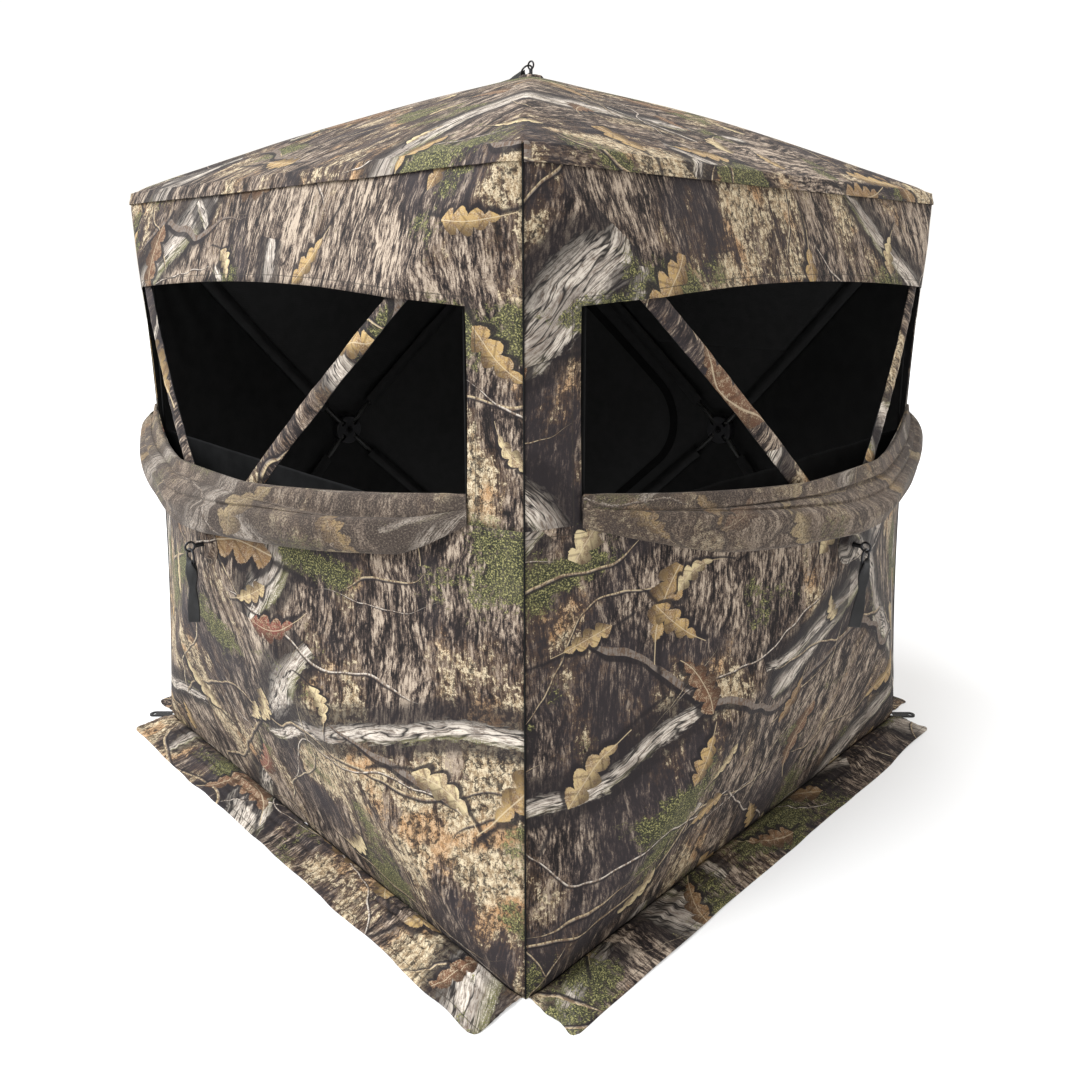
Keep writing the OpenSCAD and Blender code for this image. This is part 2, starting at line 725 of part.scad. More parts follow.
for (i = [front : roof]) {
    name = side_names[i];
    hub(i);
    hub_hardware(i);
    for (k = [1 : 4])
        pole(i, k);
    ring(i);
    strap(i);
}
roof_panel();
eave_binding();
wall_upper(front);  // front_wall_upper
wall_lower(front);  // front_wall_lower
wall_upper(right);  // right_wall_upper
wall_lower(right);  // right_wall_lower
back_wall();
left_wall();
pole_sleeves();
sill_mesh(front);  // front_mesh
sill_mesh(right);  // right_mesh
ground_skirts();
corner_joints();
window_tracks();
window_cover(front);  // front_cover
window_cover(right);  // right_cover
back_window_cover();
door_panel();
door_zip();
stake_loops();
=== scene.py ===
import math

import bmesh
import bpy
import numpy as np
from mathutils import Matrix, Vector


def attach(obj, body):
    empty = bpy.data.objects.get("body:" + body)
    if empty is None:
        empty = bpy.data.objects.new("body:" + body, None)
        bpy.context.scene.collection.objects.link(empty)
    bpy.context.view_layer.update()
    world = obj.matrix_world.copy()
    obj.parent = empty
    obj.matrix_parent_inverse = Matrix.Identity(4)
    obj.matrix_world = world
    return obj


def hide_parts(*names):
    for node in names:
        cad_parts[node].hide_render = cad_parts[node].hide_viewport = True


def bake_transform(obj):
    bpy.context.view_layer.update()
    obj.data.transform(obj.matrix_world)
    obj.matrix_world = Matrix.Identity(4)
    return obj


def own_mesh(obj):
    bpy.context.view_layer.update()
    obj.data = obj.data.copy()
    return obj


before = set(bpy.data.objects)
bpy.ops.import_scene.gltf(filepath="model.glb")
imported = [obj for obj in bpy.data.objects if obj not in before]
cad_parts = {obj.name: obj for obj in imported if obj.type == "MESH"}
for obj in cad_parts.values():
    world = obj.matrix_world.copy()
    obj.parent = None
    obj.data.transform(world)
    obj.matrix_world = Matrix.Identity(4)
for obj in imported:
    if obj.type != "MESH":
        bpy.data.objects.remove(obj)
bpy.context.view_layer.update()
print("stage: frame loaded")

# sizes of the cabin in metres, the same as the solids have; cell is the pitch of the cloth's grid
blind = dict(half=0.734, eave=1.455, hub=0.72, bulge=0.185, rise=0.275, poleBow=0.020, clampHalf=0.050,
             cloth=0.0016, cell=0.0105)
window = dict(half=0.632, jambIn=0.018, top=1.242, topDrop=0.030, sill=0.865, sillRise=0.040, seam=0.850)
wallShape = dict(w=blind["half"], up=blind["eave"] - blind["hub"], down=blind["hub"], bulge=blind["bulge"],
                 side=(0.022, 0.022), top=(0.0, 0.010), bottom=(0.0, 0.0))
roofShape = dict(w=blind["half"], up=blind["half"], down=blind["half"], bulge=blind["rise"],
                 side=(0.010, 0.0), top=(0.010, 0.0), bottom=(0.010, 0.0))
faceNames = ["front", "right", "back", "left", "roof"]
faceShapes = dict(front=wallShape, right=wallShape, back=wallShape, left=wallShape, roof=roofShape)
printPlace = dict(front=(0.0, 0.0), right=(2.37, 0.46), back=(5.13, 1.9), left=(8.21, 0.7), roof=(11.4, 2.3))


# eases a share of 0..1: three times its square less twice its cube
def smooth(t):
    t = np.clip(t, 0, 1)
    return t * t * (3 - 2 * t)


# value noise in -1..1: random heights on a square lattice, eased between
def softNoise(x, y, scale, seed):
    lattice = np.random.default_rng(seed).uniform(-1, 1, (64, 64))
    gx, gy = np.broadcast_arrays(np.asarray(x, float) * scale + 1000, np.asarray(y, float) * scale + 1000)
    ix, iy = np.floor(gx).astype(int), np.floor(gy).astype(int)
    fx, fy = smooth(gx - ix), smooth(gy - iy)
    at = lambda i, j: lattice[i % 64, j % 64]
    low = at(ix, iy) * (1 - fx) + at(ix + 1, iy) * fx
    high = at(ix, iy + 1) * (1 - fx) + at(ix + 1, iy + 1) * fx
    return low * (1 - fy) + high * fy


# how far cloth is pulled in at the top and the bottom corners, how far round the corner that reaches,
# and how much of it goes down
cornerPull = [dict(level=blind["eave"], pull=0.007, reach=0.030, down=0.25),
              dict(level=0.0, pull=0.007, reach=0.028, down=0.0)]


# pulls cloth in at the corners of the cabin: a bell of the distance to the corner, along the line that
# goes in from it
def softened(points):
    side = np.sign(points[..., :2])
    withHeight = lambda xy, z: np.concatenate([xy, np.full(points.shape[:-1] + (1,), z)], -1)
    for at in cornerPull:
        away = np.sum((points - withHeight(side * blind["half"], at["level"])) ** 2, -1)
        pull = at["pull"] * np.exp(-away / at["reach"] ** 2)
        points = points - pull[..., None] * withHeight(side * 0.7, at["down"])
    return points


# a point of a face's own frame (x along it, y up it from the hub, z out of it) in the blind's frame
def placed(face, x, y, z):
    x, y, z = np.broadcast_arrays(x, y, z)
    if face == "roof":
        return softened(np.stack([x, y, z + blind["eave"]], -1))
    turn = faceNames.index(face) * math.pi / 2
    px, py = x, -blind["half"] - z
    return softened(np.stack([px * math.cos(turn) - py * math.sin(turn),
                              px * math.sin(turn) + py * math.cos(turn), y + blind["hub"]], -1))


# pole line over a face's plane: a straight fall from the clamped flat to the edge plus a shallow bow
def crease(shape, r):
    flat = blind["clampHalf"] / shape["w"]
    t = np.minimum(1, (1 - r) / (1 - flat))
    return shape["bulge"] * t + 4 * blind["poleBow"] * t * (1 - t)


# how much an edge bows in at a point: the share of the way out to it, times 1 less the square of the
# share along it
def bowShare(shape, r, s):
    flat = blind["clampHalf"] / shape["w"]
    return np.maximum(0, (r - flat) / (1 - flat)) * (1 - s * s)


# height of the cloth over the face's plane at a point of that plane: the pole line at the larger of
# the two shares of the reach, less what the edge there bows in, rounded over each pole
def clothHeight(face, x, y, rounding=0.016):
    shape = faceShapes[face]
    x, y = np.broadcast_arrays(np.asarray(x, float), np.asarray(y, float))
    reach = np.where(y >= 0, shape["up"], shape["down"])
    u, v = x / shape["w"], y / reach
    pick = lambda n: np.where(np.abs(u) >= np.abs(v), shape["side"][n],
                              np.where(y >= 0, shape["top"][n], shape["bottom"][n]))
    for step in range(5):
        r = np.maximum(np.abs(u), np.abs(v))
        s = np.minimum(np.abs(u), np.abs(v)) / np.maximum(r, 1e-9)
        shift = pick(0) * bowShare(shape, np.minimum(r, 1), s)
        onSide = np.abs(u) >= np.abs(v)
        u = np.where(onSide, (x + np.sign(x) * shift) / shape["w"], x / shape["w"])
        v = np.where(onSide, y / reach, (y + np.sign(y) * shift) / reach)
    r = np.maximum(np.abs(u), np.abs(v))
    s = np.minimum(np.abs(u), np.abs(v)) / np.maximum(r, 1e-9)
    k = rounding / shape["w"] * smooth((1 - r) / 0.2)
    rounded = np.minimum(1, 0.5 * (np.abs(u) + np.abs(v) + np.sqrt((np.abs(u) - np.abs(v)) ** 2 + k * k)))
    return crease(shape, rounded) - pick(1) * bowShare(shape, np.minimum(r, 1), s)


slackDepth = dict(broad=0.0032, hollow=0.006, folds=0.0022, ripple=0.0016)


# slack in stretched cloth: broad hollows, folds that fan out from the corners, and ripples along
# the bottom, all fading out at the seams and at the hub
def slack(face, x, y):
    shape, seed = faceShapes[face], 11 * faceNames.index(face)
    reach = np.where(y >= 0, shape["up"], shape["down"])
    cornerX, cornerY = shape["w"] - np.abs(x), reach - np.abs(y)
    toEdge, toCorner = np.minimum(cornerX, cornerY), np.hypot(cornerX, cornerY)
    fade = smooth(toEdge / 0.09) * smooth((np.hypot(x, y) - 0.05) / 0.12) * smooth((toCorner - 0.07) / 0.12)
    if face == "back":      # the zip's tape keeps the cloth beside it even
        fade = fade * smooth((np.abs(insideDoor(x, y)) - 0.012) / 0.05)
    broad = slackDepth["broad"] * softNoise(x, y, 3.1, seed + 1)
    u, v = np.abs(x) / shape["w"], np.abs(y) / reach
    hollow = -slackDepth["hollow"] * smooth(np.abs(u - v) / 0.5) * (1 - np.maximum(u, v) ** 4)
    fan = np.arctan2(cornerY, cornerX + 1e-6)
    quarter = 2 * (x > 0) + (y > 0)
    folds = slackDepth["folds"] * softNoise(fan, quarter * 3.7, 9.0, seed + 2)
    folds = folds * smooth(toCorner / 0.12) * smooth((0.75 - toCorner) / 0.5)
    ripple = slackDepth["ripple"] * softNoise(x, y * 0.25, 14.0, seed + 3) * smooth((-y - 0.35) / 0.3)
    return fade * (broad + hollow + folds + ripple)


# how far a side edge stands from the middle of the face: the half width less a bow that is fullest at
# the hub's height
def sideEdge(face, y):
    shape = faceShapes[face]
    v = y / np.where(y >= 0, shape["up"], shape["down"])
    return shape["w"] - shape["side"][0] * (1 - np.clip(v, -1, 1) ** 2)


# the same for the top edge
def topEdge(face, x):
    shape = faceShapes[face]
    return shape["up"] - shape["top"][0] * (1 - np.clip(x / shape["w"], -1, 1) ** 2)


# two or more arrays of coordinates, spread over one grid and put side by side
def sideBySide(*arrays):
    return np.stack(np.broadcast_arrays(*arrays), -1)


# a mesh from points and faces, with its flat coordinates for the print and named values at its points
def makePiece(name, points, faces, uv=None, attributes=None):
    mesh = bpy.data.meshes.new(name)
    faces = faces if isinstance(faces, list) else faces.tolist()
    mesh.from_pydata(np.asarray(points, float).reshape(-1, 3).tolist(), [], faces)
    mesh.update()
    if uv is not None:
        loops = np.zeros(len(mesh.loops), int)
        mesh.loops.foreach_get("vertex_index", loops)
        layer = mesh.uv_layers.new(name="cloth")
        layer.data.foreach_set("uv", np.asarray(uv, float).reshape(-1, 2)[loops].ravel())
    for key, values in (attributes or {}).items():
        mesh.attributes.new(key, "FLOAT", "POINT").data.foreach_set("value", np.asarray(values, np.float32).ravel())
    mesh.polygons.foreach_set("use_smooth", np.full(len(mesh.polygons), True))
    return placeInScene(name, mesh)


def placeInScene(name, data):
    made = bpy.data.objects.new(name, data)
    bpy.context.scene.collection.objects.link(made)
    return made


# faces of a grid of rows by columns; wrapped ones close on themselves
def gridFaces(rows, cols, wrapRows=False, wrapCols=False):
    i, j = np.meshgrid(np.arange(rows - (not wrapRows)), np.arange(cols - (not wrapCols)), indexing="ij")
    i2, j2 = (i + 1) % rows, (j + 1) % cols
    quads = np.stack([i * cols + j, i * cols + j2, i2 * cols + j2, i2 * cols + j], -1)
    return quads.reshape(-1, 4)


# several meshes in one: each part gives its points, its faces and, if it has them, its flat coordinates
def joined(parts):
    points, faces, uvs, count = [], [], [], 0
    for partPoints, partFaces, *flat in parts:
        partPoints = np.asarray(partPoints, float).reshape(-1, 3)
        if isinstance(partFaces, list):
            faces += [[corner + count for corner in face] for face in partFaces]
        else:
            faces += (partFaces + count).tolist()
        points.append(partPoints)
        uvs.append(np.asarray(flat[0], float).reshape(-1, 2) if flat else np.zeros((len(partPoints), 2)))
        count += len(partPoints)
    return np.concatenate(points), faces, np.concatenate(uvs)


# a profile carried along a path: each section is a closed loop, the two ends are capped
def tubeParts(sections):
    rows, cols = sections.shape[:2]
    ends = [list(range(cols))[::-1], [(rows - 1) * cols + k for k in range(cols)]]
    return sections.reshape(-1, 3), gridFaces(rows, cols, wrapCols=True).tolist() + ends


# a closed curve through a ring of points, eased between them
def closedCurve(points, count):
    n = points.shape[-2]
    t = np.arange(count) / count * n
    k, f = np.floor(t).astype(int), (t - np.floor(t))[:, None]
    p0, p1, p2, p3 = (np.take(points, (k + d) % n, axis=-2) for d in (-1, 0, 1, 2))
    return 0.5 * (2 * p1 + (p2 - p0) * f + (2 * p0 - 5 * p1 + 4 * p2 - p3) * f ** 2
                  + (3 * p1 - p0 - 3 * p2 + p3) * f ** 3)


# lines of a grid through given places, about one cell apart
def linesThrough(places, cell):
    out = []
    for a, b in zip(places, places[1:]):
        out.append(np.linspace(a, b, max(1, int(round((b - a) / cell))) + 1)[:-1])
    return np.concatenate(out + [[places[-1]]])


# one panel of stretched cloth on a face: the face's height and slack over a grid. keep(x, y) is above 0
# on the panel and falls by 1 for each metre towards its outline; the grid's border slides onto it
def clothPanel(name, face, xPlaces, yPlaces, keep=None, lift=0.0, printShift=(0.0, 0.0)):
    shape = faceShapes[face]
    x, y = np.meshgrid(linesThrough(xPlaces, blind["cell"]), linesThrough(yPlaces, blind["cell"]))
    rows, cols = x.shape
    inside = window["half"]

    # what lies past the windows' width is drawn in to the edge
    def drawnIn(at, edge):
        beyond = (np.abs(at) - inside) / (shape["w"] - inside)
        return np.where(beyond > 0, np.sign(at) * (inside + beyond * (edge - inside)), at)

    x = drawnIn(x, sideEdge(face, y))
    if face == "roof":
        y = drawnIn(y, topEdge(face, x))
    faces = gridFaces(rows, cols)
    used, edge = np.ones(x.size, bool), np.full(x.shape, 1.0)
    if keep is not None:
        px, py = x.ravel().copy(), y.ravel().copy()
        held = keep(px[faces].mean(1), py[faces].mean(1)) > 0
        used, dropped = np.zeros(px.size, bool), np.zeros(px.size, bool)
        used[faces[held].ravel()] = True
        dropped[faces[~held].ravel()] = True
        border = used & dropped
        for step in range(4):
            d, h = keep(px, py), 1e-4
            gx, gy = (keep(px + h, py) - d) / h, (keep(px, py + h) - d) / h
            g2 = np.maximum(gx * gx + gy * gy, 0.2)
            px, py = np.where(border, px - d * gx / g2, px), np.where(border, py - d * gy / g2, py)
        x, y = px.reshape(x.shape), py.reshape(y.shape)
        edge = np.clip(keep(px, py), 0, 1).reshape(x.shape)
        order = np.cumsum(used) - 1
        faces = order[faces[held]]
    z = clothHeight(face, x, y) + slack(face, x, y) + (lift(x) if callable(lift) else lift)
    points = placed(face, x, y, z).reshape(-1, 3)[used]
    ox, oy = np.add(printPlace[face], printShift)
    uv = np.stack([x + ox, y + oy], -1).reshape(-1, 2)[used]
    piece = makePiece(name, points, faces, uv, attributes=dict(hem=edge.ravel()[used]))
    thicken(piece, blind["cloth"], insideFinish=1)
    return piece


# gives cloth its thickness inwards; insideFinish is how many finishes further on its inside takes
def thicken(piece, thickness, insideFinish=0, offset=-1.0):
    solid = piece.modifiers.new("cloth", "SOLIDIFY")
    solid.thickness, solid.offset, solid.use_even_offset = thickness, offset, False
    solid.material_offset = insideFinish


def subdivide(piece, levels):
    rounder = piece.modifiers.new("round", "SUBSURF")
    rounder.levels = rounder.render_levels = levels


def dress(piece, materials):
    for material in materials:
        piece.data.materials.append(material)


# the direction out of a face
def outward(face):
    return placed(face, 0, 0, 1.0) - placed(face, 0, 0, 0.0)


# bakes the piece's place into its points; low and high are where the face's plane and its hub lie, some way below the
# cloth
def followHub(piece, face, below=0.0):
    low = placed(face, 0, 0, -below)
    high = placed(face, 0, 0, faceShapes[face]["bulge"] - below)
    face + "_hub"
    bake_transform(piece)


# one socket of a material, so that shader maths reads as plain expressions
class Link:
    def __init__(self, net, socket):
        self.net, self.socket = net, socket

    def math(self, operation, *others):
        return self.net.node("ShaderNodeMath", dict(operation=operation), [self, *others])

    def __add__(self, other):
        return self.math("ADD", other)

    def __radd__(self, other):
        return self.math("ADD", other)

    def __sub__(self, other):
        return self.math("SUBTRACT", other)

    def __rsub__(self, other):
        return self.net.node("ShaderNodeMath", dict(operation="SUBTRACT"), [other, self])

    def __mul__(self, other):
        return self.math("MULTIPLY", other)

    def __rmul__(self, other):
        return self.math("MULTIPLY", other)

    def __truediv__(self, other):
        return self.math("DIVIDE", other)

    def __gt__(self, other):
        return self.math("GREATER_THAN", other)

    def __lt__(self, other):
        return self.math("LESS_THAN", other)

    def __abs__(self):
        return self.math("ABSOLUTE")

    # 0 up to low, 1 from high on, eased between
    def ramp(self, low, high):
        return self.net.node("ShaderNodeMapRange", dict(interpolation_type="SMOOTHSTEP"),
                             {"Value": self, "From Min": low, "From Max": high})


# the node net of one material
class Net:
    def __init__(self, name):
        self.material = bpy.data.materials.new(name)
        self.material.use_nodes = True
        self.tree = self.material.node_tree
        self.tree.nodes.clear()

    # one node of a kind: its settings first, then the values or links of its sockets
    def node(self, kind, settings=None, values=None, out=0):
        made = self.tree.nodes.new(kind)
        for key, value in (settings or {}).items():
            if key == "stops":
                elements = made.color_ramp.elements
                elements[0].position, elements[-1].position = value[0][0], value[-1][0]
                for place, colour in value[1:-1]:
                    elements.new(place)
                for element, (place, colour) in zip(elements, value):
                    element.color = (*colour, 1)
            else:
                setattr(made, key, value)
        pairs = values.items() if isinstance(values, dict) else enumerate(values or [])
        for key, value in pairs:
            socket = made.inputs[key]
            if isinstance(value, Link):
                self.tree.links.new(value.socket, socket)
            else:
                socket.default_value = value
        return Link(self, made.outputs[out]) if len(made.outputs) else made

    def combine(self, x, y, z=0.0):
        return self.node("ShaderNodeCombineXYZ", None, [x, y, z])

    def split(self, vector):
        outs = self.node("ShaderNodeSeparateXYZ", None, [vector]).socket.node.outputs
        return [Link(self, out) for out in outs]

    def mix(self, share, a, b):
        a = (*a, 1) if isinstance(a, tuple) else a
        b = (*b, 1) if isinstance(b, tuple) else b
        return self.node("ShaderNodeMix", dict(data_type="RGBA"), {0: share, 6: a, 7: b}, out=2)

    def noise(self, vector, scale, detail=2.0, rough=0.5, dimensions="2D"):
        return self.node("ShaderNodeTexNoise", dict(noise_dimensions=dimensions),
                         {"Vector": vector, "Scale": scale, "Detail": detail, "Roughness": rough})

    def bump(self, strength, distance, height):
        return self.node("ShaderNodeBump", None, {"Strength": strength, "Distance": distance, "Height": height})

    def surface(self, colour, roughness=0.7, normal=None, **fixed):
        values = {"Base Color": (*colour, 1) if isinstance(colour, tuple) else colour, "Roughness": roughness}
        if normal is not None:
            values["Normal"] = normal
        values.update({key.replace("_", " "): value for key, value in fixed.items()})
        shader = self.node("ShaderNodeBsdfPrincipled", None, values)
        self.node("ShaderNodeOutputMaterial", None, {"Surface": shader})
        return self.material


# woodland print in layers: bark, cracked pale bark, limbs, moss, twigs and fallen leaves
camo = dict(
    barkTones=[(0.24, (0.009, 0.007, 0.007)), (0.39, (0.026, 0.019, 0.017)), (0.50, (0.072, 0.053, 0.043)),
               (0.62, (0.165, 0.125, 0.096)), (0.80, (0.38, 0.31, 0.24))],
    shadow=(0.015, 0.012, 0.013), dusk=(0.038, 0.031, 0.034), tan=(0.27, 0.198, 0.118), tanPale=(0.52, 0.435, 0.300),
    orange=(0.36, 0.175, 0.065), stain=(0.085, 0.050, 0.030), crack=(0.014, 0.010, 0.009), limb=(0.56, 0.50, 0.43),
    limbGrey=(0.155, 0.130, 0.112), limbDark=(0.013, 0.011, 0.011), moss=(0.130, 0.125, 0.052),
    mossPale=(0.30, 0.275, 0.125), mossDark=(0.022, 0.024, 0.014), twig=(0.44, 0.35, 0.22),
    leafGold=(0.36, 0.245, 0.105), leafRust=(0.120, 0.060, 0.034), leafTan=(0.50, 0.41, 0.24),
    leafRed=(0.17, 0.055, 0.042), leafDark=(0.030, 0.017, 0.011),
    # limbs: angle in degrees, spacing, half width, shift, how seldom they show, seed
    limbs=[(50, 0.66, 0.052, 0.31, 0.46, 3.0), (-36, 1.05, 0.030, 0.12, 0.49, 8.0),
           (82, 0.88, 0.040, 0.44, 0.51, 15.0), (17, 1.33, 0.022, 0.7, 0.50, 21.0)],
    # twigs: angle in degrees, spacing, half width, seed, how seldom they show, colour
    twigs=[(9, 0.31, 0.0034, 2.0, 0.48, "twig"), (-24, 0.41, 0.0028, 5.0, 0.50, "limb"),
           (38, 0.47, 0.0042, 9.0, 0.49, "twig"), (-7, 0.83, 0.0085, 13.0, 0.53, "limbGrey"),
           (66, 0.44, 0.0024, 17.0, 0.52, "tanPale"), (-52, 0.57, 0.0030, 23.0, 0.52, "twig"),
           (20, 0.35, 0.0020, 29.0, 0.50, "limb")],
    # leaves: cells to a metre, length, seed, share of the cells with a leaf
    leaves=[(4.3, 0.074, 31.0, 0.16), (5.9, 0.056, 47.0, 0.13), (3.3, 0.092, 59.0, 0.12), (6.7, 0.050, 73.0, 0.12)])


# the print's colour at a point of the cloth: each layer is mixed over the one before by its own mask
def camoColour(net, x, y):
    c = camo
    p = net.combine(x, y)
    drift = net.noise(p, 2.3, 3.0, 0.6)
    wander = net.noise(net.combine(x, y + 7.0), 4.0, 2.0)
    mottle = net.noise(p, 85.0, 4.0, 0.74)
    fibre = net.noise(net.combine(x + wander * 0.03, y * 0.15), 270.0, 4.0, 0.72)
    grain = net.noise(p, 430.0, 2.0, 0.6)

    # dark lines where a stretched noise crosses its middle value
    def furrows(vector, scale, width, detail=2.0):
        return 1.0 - abs(net.noise(vector, scale, detail) - 0.5).ramp(0.0, width)

    # bark: fibres and flakes on upright ridges with dark gaps between them
    streak = net.noise(net.combine(x + wander * 0.10, y * 0.20), 46.0, 4.0, 0.64)
    flakes = net.noise(net.combine(x + mottle * 0.006, y * 0.27), 175.0, 2.0, 0.6)
    gaps = furrows(net.combine(x + wander * 0.12 + mottle * 0.010, y * 0.19), 66.0, 0.042)
    tone = streak * 1.30 + fibre * 1.05 + flakes * 0.75 + grain * 0.35 - 1.225 - gaps * 0.20 + (drift - 0.5) * -0.75
    colour = net.node("ShaderNodeValToRGB", dict(stops=c["barkTones"]), [tone])
    colour = net.mix(drift.ramp(0.50, 0.64) * 0.50, colour, c["dusk"])
    # cracked pale bark in ragged patches
    patch = net.noise(net.combine(x + 3.3, y * 0.60 + 1.7), 3.6, 4.0, 0.66)
    plateColour = net.mix((mottle * 0.65 + flakes * 0.35).ramp(0.42, 0.58), c["tan"], c["tanPale"])
    plateColour = net.mix(net.noise(p, 9.0, 3.0).ramp(0.54, 0.68) * 0.55, plateColour, c["orange"])
    plateColour = net.mix((fibre * 0.5 + grain * 0.5).ramp(0.50, 0.60) * 0.75, plateColour, c["stain"])
    uprights = furrows(net.combine(x + mottle * 0.020, y * 0.36), 48.0, 0.050, 3.0)
    across = furrows(net.combine(x * 0.7 + 9.0 + mottle * 0.012, y + mottle * 0.015), 44.0, 0.030, 3.0)
    plateColour = net.mix(uprights * 0.92, plateColour, c["crack"])
    plateColour = net.mix(across * streak.ramp(0.40, 0.55) * 0.85, plateColour, c["crack"])
    rim = patch + (streak - 0.5) * 0.20 + (mottle - 0.5) * 0.24 + (fibre - 0.5) * 0.20
    colour = net.mix(rim.ramp(0.48, 0.58) * 0.5, colour, c["stain"])
    colour = net.mix(rim.ramp(0.558, 0.600), colour, plateColour)

    # a point in a frame turned by an angle: its place along the frame's line and across it
    def turned(angle):
        return x * math.cos(angle) + y * math.sin(angle), y * math.cos(angle) - x * math.sin(angle)

    # a limb: a warped band of pale ridges with black furrows, dark along one edge and mossy along the other
    def limb(colour, angle, spacing, width, shift, gateLow, seed):
        along, across = turned(angle)
        bend = (net.noise(net.combine(along, seed), 1.3, 2.0, 0.5) - 0.5) * 0.34
        level = across + bend
        ragged = (net.noise(net.combine(along * 3.0, across * 9.0 + seed), 12.0, 4.0, 0.66) - 0.5) * 0.034
        place = (level + shift) / spacing
        lane = place.math("FLOOR")
        near = (place - lane - 0.5) * spacing
        gate = net.noise(net.combine(along + seed * 3.1, lane * 5.7), 1.15, 2.0).ramp(gateLow, gateLow + 0.07)
        swell = (0.55 + net.noise(net.combine(along + 9.0, seed), 2.6, 2.0)) * width * (0.35 + gate * 0.65)
        body = (swell - abs(near) - ragged).ramp(0.0, 0.006) * (gate > 0.05)
        wave = net.noise(net.combine(along * 0.8, across * 2.0), 8.0, 3.0)
        ridgeAt = net.combine(along * 0.10 + seed, level + wave * 0.040)
        deep = furrows(ridgeAt, 62.0, 0.055)
        fine = furrows(net.combine(along * 0.08 + seed, level + wave * 0.030), 170.0, 0.045)
        strand = net.noise(net.combine(along * 0.13, level + wave * 0.02), 260.0, 4.0, 0.72)
        side = near / (swell + 0.001) * 0.5 + 0.5
        tone = net.mix((strand * 0.7 + mottle * 0.3).ramp(0.36, 0.58), c["limbGrey"], c["limb"])
        tone = net.mix(wave.ramp(0.48, 0.64) * 0.6, tone, c["limbGrey"])
        tone = net.mix(fine * 0.65, tone, c["stain"])
        tone = net.mix(deep * 0.97, tone, c["limbDark"])
        tone = net.mix(side.ramp(0.52, 1.0) * 0.85, tone, c["limbDark"])
        green = (1.0 - side).ramp(0.60, 0.92) * net.noise(net.combine(along, seed + 2.0), 3.0, 2.0).ramp(0.46, 0.58)
        tone = net.mix(green * grain.ramp(0.36, 0.52) * 0.9, tone, c["moss"])
        tone = net.mix((1.0 - side).ramp(0.86, 1.0) * 0.5, tone, c["limbDark"])
        under = (swell + 0.006 - abs(near + 0.014) - ragged).ramp(-0.014, 0.008) * (gate > 0.05)
        over = (swell + 0.010 - abs(near - 0.020) - ragged).ramp(-0.020, 0.010) * (gate > 0.05)
        colour = net.mix(under.math("MAXIMUM", over) * 0.80, colour, c["shadow"])
        return net.mix(body, colour, tone)

    for angle, *rest in c["limbs"]:
        colour = limb(colour, math.radians(angle), *rest)
    # moss in dark hollows
    mossArea = (net.noise(net.combine(x * 0.7 + 5.1, y + 2.2), 4.6, 3.0) + (mottle - 0.5) * 0.26).ramp(0.61, 0.67)
    speckle = net.noise(p, 300.0, 3.0, 0.7) * 0.75 + mottle * 0.25
    colour = net.mix(mossArea * 0.9, colour, c["mossDark"])
    colour = net.mix(speckle.ramp(0.48, 0.56) * mossArea, colour, c["moss"])
    colour = net.mix(speckle.ramp(0.57, 0.63) * mossArea, colour, c["mossPale"])

    # twigs: thin bent lines that taper out, pale above and dark below
    def twig(colour, angle, spacing, width, seed, gateLow, pale):
        along, across = turned(angle)
        bend = (net.noise(net.combine(along, seed), 2.3, 1.5, 0.45) - 0.5) * 0.40
        kink = (net.noise(net.combine(along, seed + 6.0), 13.0, 1.5) - 0.5) * 0.022
        place = (across + bend + kink) / spacing + seed * 0.37
        lane = place.math("FLOOR")
        near = (place - lane - 0.5) * spacing
        gate = net.noise(net.combine(along + seed, lane * 3.3), 1.7, 1.0).ramp(gateLow, gateLow + 0.10)
        wide = (0.35 + net.noise(net.combine(along, seed + 4.0), 9.0, 3.0)) * width * gate
        dark = (wide * 1.7 - abs(near + wide * 0.9)).ramp(-0.0014, 0.0026) * (gate > 0.02)
        line = (wide - abs(near)).ramp(-0.0004, 0.0009) * (gate > 0.02)
        tone = net.mix((near / (wide + 0.0003)).ramp(-0.7, 0.5), c["limbGrey"], pale)
        colour = net.mix(dark * 0.9, colour, c["shadow"])
        tone = net.mix((mottle * 0.5 + fibre * 0.5).ramp(0.46, 0.56) * 0.8, tone, c["stain"])
        return net.mix(line, colour, tone)

    for angle, spacing, width, seed, gateLow, pale in c["twigs"]:
        colour = twig(colour, math.radians(angle), spacing, width, seed, gateLow, c[pale])

